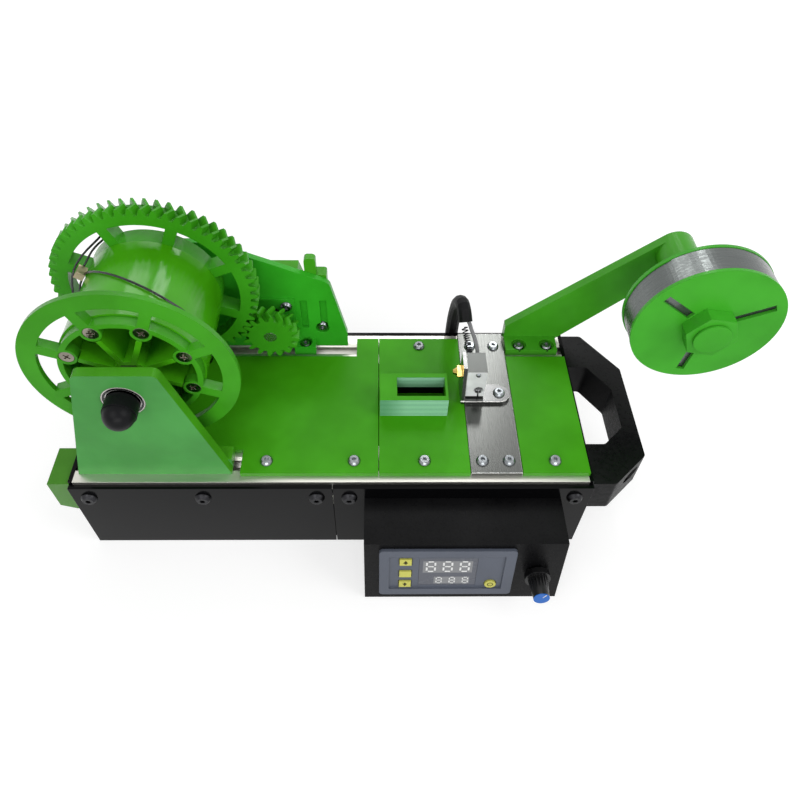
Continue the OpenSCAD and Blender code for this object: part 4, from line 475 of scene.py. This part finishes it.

# ---- Spool stand ----
# A printed upright at the front and a taller printed bracket at the back carry the spool's
# axle in two shielded ball bearings.

# The support's front and back faces get a paler, bluer colour, a painted sheen
wear(printed("green_print_support", (0.070, 0.37, 0.010), "y", face_lines=0.25,
             face=(0.078, 0.35, 0.075)), "support_front")
wear(printed("green_print_bracket", (0.034, 0.42, 0.016), "y", face_lines=0.25), "bracket_rear")
drum_low, drum_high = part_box("spool_drum")
spool_axis = ((drum_low[0] + drum_high[0]) / 2, 0, (drum_low[2] + drum_high[2]) / 2)
# The two pale, nearly non-metal bands are painted highlights, standing for the light caught by the
# races' rounded edges
bearing_bands = ((0.0087, (0.03, 0.03, 0.032), 1), (0.0093, (0.80, 0.79, 0.75), 0.4),
                 (0.0104, (0.05, 0.05, 0.052), 1), (1, (0.66, 0.64, 0.59), 0.4))
wear(ring_finish("bearing_steel", spool_axis, "y", bearing_bands, 0.18, 0.0005), "bearings")

# ---- Spool ----
# Flange, drum and herringbone gear are printed lying down and screwed together. The bed
# side of each is smooth, and their rims show the layers.

wear(printed("green_print_flange", (0.052, 0.345, 0.010), "y", face_lines=0.15, side_rough=0.16),
     "spool_flange")
wear(printed("green_print_drum", (0.066, 0.40, 0.004), "y", depth=0.00001, side_shine=0.30,
             side_rough=0.09), "spool_drum")
wear(printed("green_print_gears", (0.050, 0.36, 0.010), "y", face_lines=0.2, side_rough=0.16),
     "spool_gear", "pinion")
wear(plated("spool_screw_steel", (0.33, 0.30, 0.25), 0.16), "spool_screws", "axle_nuts")
wear(drawn_metal("turned_steel", (0.52, 0.53, 0.54), "y", 0.25), "axle", "motor_shaft")
wear(black_sheet("black_cap", (0.004, 0.004, 0.005), 0.34, 0.12), "axle_cap")

# ---- Wire on the drum ----
# A loop of spring wire holds the first turn of filament, joined by a small brass clamp.

wear(plated("spring_wire", (0.06, 0.06, 0.063), 0.22), "wire_loop")
wear(plated("brass_clamp", (0.55, 0.46, 0.31), 0.35), "wire_clamp")

# ---- Drive ----
# A worm gear motor stands behind the bracket under a printed cover with a fold in its top.
# Beside it two printed tabs guide the filament.

wear(drawn_metal("motor_casing", (0.42, 0.42, 0.43), "x", 0.4), "motor")
wear(printed("green_print_cover", (0.062, 0.345, 0.010), "z"), "motor_cover")
wear(printed("green_print_tabs", (0.055, 0.345, 0.010), "y"), "guide_tabs")

# ---- Hot end ----
# The milled aluminium heater block sits against a bent steel angle, with the brass nozzle
# through the angle. Its cartridge heater and sensor leads go back into a rubber sleeve.

def milled(name, colour, top_tone):
    """Milled metal: arcs left by the cutter, one after the other. The top gets a darker, fully
    metallic colour, the sides a pale one with almost no metal shine
    """
    pitch, arcs_centre = 0.0007, (0.05, -0.02, 0.04)
    finish, tree, shader, place = start_finish(name)
    arcs = add(tree, "TexWave", wave_type="RINGS", rings_direction="SPHERICAL", wave_profile="SAW")
    arcs.inputs["Scale"].default_value = wave_scale(pitch)
    arcs.inputs["Distortion"].default_value = 0.4
    arcs.inputs["Detail Scale"].default_value = 0.2
    tree.links.new(stretched(tree, place.outputs["Object"], moved=scaled(arcs_centre, -1)),
                   arcs.inputs["Vector"])
    cloud = grain(tree, place.outputs["Object"], 60.0, 3.0, 0.6)
    top = parted(tree, place.outputs["Normal"])[2]
    tone = mixed(tree, span(tree, top, 0.6, 0.9), colour, top_tone)
    tree.links.new(mixed(tree, span(tree, cloud, 0.35, 0.65, 0.0, 0.18), tone, (0.05, 0.05, 0.05)),
                   shader.inputs["Base Color"])
    tree.links.new(span(tree, top, 0.6, 0.9, 0.05, 1.0), shader.inputs["Metallic"])
    tree.links.new(span(tree, arcs.outputs["Fac"], 0, 1, 0.28, 0.42), shader.inputs["Roughness"])
    relief(tree, shader, arcs.outputs["Fac"], 0.000006, 0.0003)
    return finish


def choose(piece):
    """Selects one piece alone and makes it the active one"""
    bpy.ops.object.select_all(action="DESELECT")
    piece.select_set(True)
    bpy.context.view_layer.objects.active = piece


def round_edges(piece, width, segments=2):
    """Rounds a piece's sharp edges and shades it smooth between them"""
    choose(piece)
    bevel = piece.modifiers.new("edges", "BEVEL")
    bevel.width, bevel.segments, bevel.limit_method = width, segments, "ANGLE"
    bevel.angle_limit = math.radians(35)
    bpy.ops.object.modifier_apply(modifier="edges")
    bpy.ops.object.shade_smooth_by_angle(angle=math.radians(30))


# The last colour is a painted highlight along the angle's rounded edges
wear(drawn_metal("bent_steel", (0.15, 0.152, 0.15), "x", 0.22, 0.0000010, 3200, 0.02, 0.0006,
                 (0.85, 0.84, 0.80)), "hot_angle")
wear(zinc_plate, "hot_screws")
wear(milled("milled_aluminium", (0.93, 0.94, 0.95), (0.10, 0.105, 0.10)), "heater_block")
wear(plated("brass_nozzle", (0.80, 0.55, 0.16), 0.22), "nozzle")
wear(plated("sensor_spring_steel", (0.035, 0.035, 0.038), 0.25), "sensor_spring")


def braided(name, colour, rough):
    """Glass-fibre braid on the heater leads"""
    finish, tree, shader, place = start_finish(name)
    weave = add(tree, "TexVoronoi")
    weave.inputs["Scale"].default_value = 2600.0
    tree.links.new(place.outputs["Object"], weave.inputs["Vector"])
    tree.links.new(mixed(tree, span(tree, weave.outputs["Distance"], 0.0, 0.7), colour,
                         scaled(colour, 0.55)), shader.inputs["Base Color"])
    shader.inputs["Roughness"].default_value = rough
    relief(tree, shader, weave.outputs["Distance"], 0.00006, 0)
    return finish


def rubber(name, colour, rough):
    finish, tree, shader, place = start_finish(name)
    skin = grain(tree, place.outputs["Object"], 1200.0, 3.0, 0.6)
    bloom = grain(tree, place.outputs["Object"], 120.0, 3.0, 0.6)
    tree.links.new(mixed(tree, span(tree, bloom, 0.4, 0.75), colour, scaled(colour, 2.2)),
                   shader.inputs["Base Color"])
    tree.links.new(span(tree, skin, 0.3, 0.7, rough * 0.85, rough * 1.2), shader.inputs["Roughness"])
    shader.inputs["Specular IOR Level"].default_value = 0.12
    relief(tree, shader, skin, 0.00002, 0.0003)
    return finish


wear(braided("glass_fibre_braid", (0.30, 0.30, 0.31), 0.7), "heater_lead")

cartridge_place = (0.0888, 0.00785, 0.07898)
cartridge_r, cartridge_l, cartridge_rim = 0.00294, 0.0127, 0.0005
bpy.ops.mesh.primitive_cylinder_add(vertices=40, radius=cartridge_r, depth=cartridge_l,
                                    location=cartridge_place, rotation=(math.pi / 2, 0, 0))
cartridge = bpy.context.object
cartridge.name = "heater_cartridge"
bpy.ops.object.transform_apply(location=True, rotation=True)
pick(cartridge, lambda face: face.normal.y < -0.9)
bpy.ops.mesh.inset(thickness=cartridge_rim)
bpy.ops.mesh.extrude_region_move(TRANSFORM_OT_translate={"value": (0, cartridge_rim, 0)})
bpy.ops.mesh.inset(thickness=cartridge_rim / 2)
bpy.ops.mesh.extrude_region_move(TRANSFORM_OT_translate={"value": (0, -cartridge_rim / 2, 0)})
bpy.ops.object.mode_set(mode="OBJECT")
round_edges(cartridge, 0.00012)
cartridge.data.materials.append(plated("cartridge_steel", (0.42, 0.42, 0.43), 0.3))
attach(cartridge, "frame")
wear(rubber("black_rubber", (0.0035, 0.0035, 0.004), 0.5), "lead_sleeve", "sleeve_grommet")

# ---- Strip reel ----
# The arm carries a printed reel of two slotted discs and a printed nut. The wound strip is
# clear plastic: its edges and turns shine like brushed silver.

wear(printed("green_print_arm", (0.058, 0.36, 0.014), "y"), "reel_arm")
wear(printed("green_print_reel", (0.055, 0.41, 0.022), "y", face_lines=0.15),
     "reel_disc_front", "reel_disc_rear", "reel_nut", "reel_axle")


def wound_strip(name):
    """Clear strip wound tight: fine lines run round it, crossed by slanting scuffs"""
    finish, tree, shader, place = start_finish(name)
    own = place.outputs["Object"]
    lines = grain(tree, stretched(tree, own, (40, 2600, 40)), 1.0, 3.0, 0.6)
    scuffs = grain(tree, stretched(tree, own, (60, 900, 700), (0.5, 0.0, 0.6)), 1.0, 2.0, 0.5)
    tree.links.new(mixed(tree, lines, (0.075, 0.084, 0.082), (0.19, 0.205, 0.20)),
                   shader.inputs["Base Color"])
    shader.inputs["Metallic"].default_value = 0.8
    tree.links.new(span(tree, scuffs, 0.3, 0.7, 0.22, 0.36), shader.inputs["Roughness"])
    relief(tree, shader, math_node(tree, "ADD", lines, scuffs), 0.000004, 0)
    return finish


wear(wound_strip("clear_strip"), "strip_roll")

# ---- Control box ----
# A printed black box with a tilted face hangs under the front rail. In its face sit the
# temperature controller, with its window and keys, and the speed control's knob.

face_foot = Vector((0.0185, -0.0991, 0.0003))
face_lean, face_rise, face_high = 0.0086, 0.0525, 0.0532
face_tilt = math.atan2(face_lean, face_rise)
face_up = Vector((0, math.sin(face_tilt), math.cos(face_tilt)))
face_out = Vector((0, -math.cos(face_tilt), math.sin(face_tilt)))
bezel_x, bezel_down = 0.0087, 0.0042
window_in, window_down, window_high = 0.0232, 0.0084, 0.0264
wear(printed("black_print_box", (0.0022, 0.0022, 0.0026), "z", rough=0.30, shine=0.09, depth=0.00002,
             side_rough=0.3, side_shine=0.07), "control_box")


def on_face(x, down, out):
    """Turns and moves a flat piece on to the tilted face: x along it, down from its top, out of it"""
    place = face_foot + Vector((x, 0, 0)) + face_up * (face_high - down) + face_out * out
    turned = Matrix((Vector((1, 0, 0)), face_up, face_out)).transposed().to_4x4()
    return Matrix.Translation(place) @ turned


def distance_along(tree, vector, direction):
    made = add(tree, "VectorMath", operation="DOT_PRODUCT")
    made.inputs[1].default_value = direction
    tree.links.new(vector, made.inputs[0])
    return made.outputs["Value"]


def two_tone(name, height, lower, upper, rough, shine):
    """Moulded plastic whose colour changes at a height out of the tilted face"""
    finish, tree, shader, place = start_finish(name)
    out = distance_along(tree, place.outputs["Object"], face_out)
    past = math_node(tree, "GREATER_THAN", out, face_foot.dot(face_out) + height)
    cloud = grain(tree, place.outputs["Object"], 90.0, 2.0, 0.5)
    tone = mixed(tree, past, lower, upper)
    tree.links.new(mixed(tree, math_node(tree, "MULTIPLY", cloud, 0.3), tone, (0.01, 0.01, 0.01)),
                   shader.inputs["Base Color"])
    tree.links.new(span(tree, cloud, 0.3, 0.7, rough * 0.8, rough * 1.3), shader.inputs["Roughness"])
    shader.inputs["Specular IOR Level"].default_value = shine
    relief(tree, shader, cloud, 0.00001, 0.0003)
    return finish


def smoked_window(name, rows, height):
    """Smoked plastic over the digits, paler where the rows of digits lie under it. Each row is its
    middle and half its size, along the face and up it. What stands out by height is white."""
    blur = 0.0003
    smoke, over_digits, lit_digit = (0.105, 0.112, 0.135), (0.235, 0.24, 0.25), (0.80, 0.81, 0.80)
    finish, tree, shader, place = start_finish(name)
    own = place.outputs["Object"]
    along, up = parted(tree, own)[0], distance_along(tree, own, face_up)
    tone = smoke
    for x_mid, x_half, up_mid, up_half in rows:
        inside = []
        for value, middle, half in ((along, x_mid, x_half), (up, up_mid, up_half)):
            off = math_node(tree, "ABSOLUTE", math_node(tree, "SUBTRACT", value, middle))
            inside.append(span(tree, off, half - blur, half, 1.0, 0.0))
        tone = mixed(tree, math_node(tree, "MULTIPLY", *inside), tone, over_digits)
    out = distance_along(tree, own, face_out)
    past = math_node(tree, "GREATER_THAN", out, face_foot.dot(face_out) + height)
    cloud = grain(tree, own, 90.0, 2.0, 0.5)
    tree.links.new(mixed(tree, past, tone, lit_digit), shader.inputs["Base Color"])
    tree.links.new(span(tree, cloud, 0.3, 0.7, 0.2, 0.3), shader.inputs["Roughness"])
    shader.inputs["Specular IOR Level"].default_value = 0.3
    relief(tree, shader, cloud, 0.00001, 0.0001)
    return finish


def moulded(name, colour, rough, shine=0.3, edge=0.0003):
    finish, tree, shader, place = start_finish(name)
    spark = grain(tree, place.outputs["Object"], 1600.0, 2.0, 0.6)
    cloud = grain(tree, place.outputs["Object"], 30.0, 2.0, 0.5)
    tree.links.new(mixed(tree, span(tree, cloud, 0.3, 0.7), colour, scaled(colour, 0.9)),
                   shader.inputs["Base Color"])
    tree.links.new(span(tree, spark, 0.3, 0.7, rough * 0.9, rough * 1.15), shader.inputs["Roughness"])
    shader.inputs["Specular IOR Level"].default_value = shine
    relief(tree, shader, spark, 0.000008, edge)
    return finish


window_x = face_foot.x + bezel_x + window_in
window_up = face_foot.dot(face_up) + face_high - bezel_down - window_down - window_high
upper_row = (window_x + 0.0168, 0.0146, window_up + 0.0180, 0.0058)
lower_row = (window_x + 0.0197, 0.0107, window_up + 0.0047, 0.0036)
wear(moulded("dark_grey_case", (0.095, 0.108, 0.140), 0.36, 0.3, 0.0007), "controller")
wear(moulded("yellow_keys", (0.62, 0.60, 0.12), 0.38),
     "keys_panel_up", "keys_panel_set", "keys_panel_down", "key_round")
wear(smoked_window("display_window", (upper_row, lower_row), 0.00078), "display")
wear(two_tone("knob_plastic", 0.0172, (0.004, 0.004, 0.0045), (0.002, 0.15, 0.62), 0.25, 0.35), "knob")

# ---- Marks on the keys and the knob ----
# Arrows and a switch sign are printed on the keys in thick dark ink, and a white line on the
# knob's cap shows which way it is turned; it stands in part for the small white glint on the cap,
# a painted highlight. Each mark moves with its key or knob.

def set_down(mark, place, ink, body):
    mark.matrix_world = place @ mark.matrix_world
    choose(mark)
    bpy.ops.object.transform_apply(location=True, rotation=True, scale=True)
    round_edges(mark, 0.00003, 1)
    mark.data.materials.append(ink)
    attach(mark, body)


ink_t = 0.00012
key_top = 0.0017
keys_x, up_down, down_down = 0.0240, 0.01538, 0.037095
arrow_r, arrow_lift, stem_share, stem_l = 0.0017, 0.0002, 0.42, 0.0009
dark_ink = moulded("dark_ink", (0.05, 0.045, 0.01), 0.6, 0.2)
# White for the knob's line, which is in part a painted highlight standing for the cap's small glint
white_mark_and_highlight = moulded("white_mark_and_highlight", (0.75, 0.75, 0.75), 0.5)
for name, body, down, turned in (("mark_up", "key_up", up_down, 0),
                                 ("mark_down", "key_down", down_down, math.pi)):
    bpy.ops.mesh.primitive_cylinder_add(vertices=3, radius=arrow_r, depth=ink_t,
                                        location=(0, arrow_lift, 0))
    arrow = bpy.context.object
    arrow.name = name
    bpy.ops.object.transform_apply(location=True)
    pick(arrow, lambda face: face.normal.y < -0.9)
    bpy.ops.mesh.inset(thickness=ink_t / 8, depth=0)
    bpy.ops.transform.resize(value=(stem_share, 1, 1))
    bpy.ops.mesh.extrude_region_move(TRANSFORM_OT_translate={"value": (0, -stem_l, 0)})
    bpy.ops.object.mode_set(mode="OBJECT")
    set_down(arrow, on_face(keys_x, down, key_top) @ Matrix.Rotation(turned, 4, "Z"),
             dark_ink, body)

ring_x, ring_down, ring_r, ring_wide = bezel_x + 0.0662, bezel_down + 0.0333, 0.0018, 0.0005
bpy.ops.mesh.primitive_cylinder_add(vertices=32, radius=ring_r, depth=ink_t)
ring = bpy.context.object
ring.name = "mark_switch"
pick(ring, lambda face: abs(face.normal.z) > 0.9)
bpy.ops.mesh.inset(thickness=ring_wide)
bpy.ops.mesh.bridge_edge_loops()
bpy.ops.object.mode_set(mode="OBJECT")
set_down(ring, on_face(ring_x, ring_down, key_top), dark_ink, "key_power")

knob_x, knob_down, knob_top, knob_turn = 0.1015, 0.0274, 0.0176, -0.6
line_wide, line_l, line_middle, tip_share = 0.0008, 0.0034, 0.0026, 0.5
bpy.ops.mesh.primitive_cube_add(size=1, location=(0, line_middle, 0), scale=(line_wide, line_l, ink_t))
pointer = bpy.context.object
pointer.name = "knob_line"
bpy.ops.object.transform_apply(location=True, scale=True)
pick(pointer, lambda face: face.normal.y < -0.9)
bpy.ops.transform.resize(value=(tip_share, 1, 1))
bpy.ops.object.mode_set(mode="OBJECT")
set_down(pointer, on_face(knob_x, knob_down, knob_top) @ Matrix.Rotation(knob_turn, 4, "Z"),
         white_mark_and_highlight, "speed_knob")
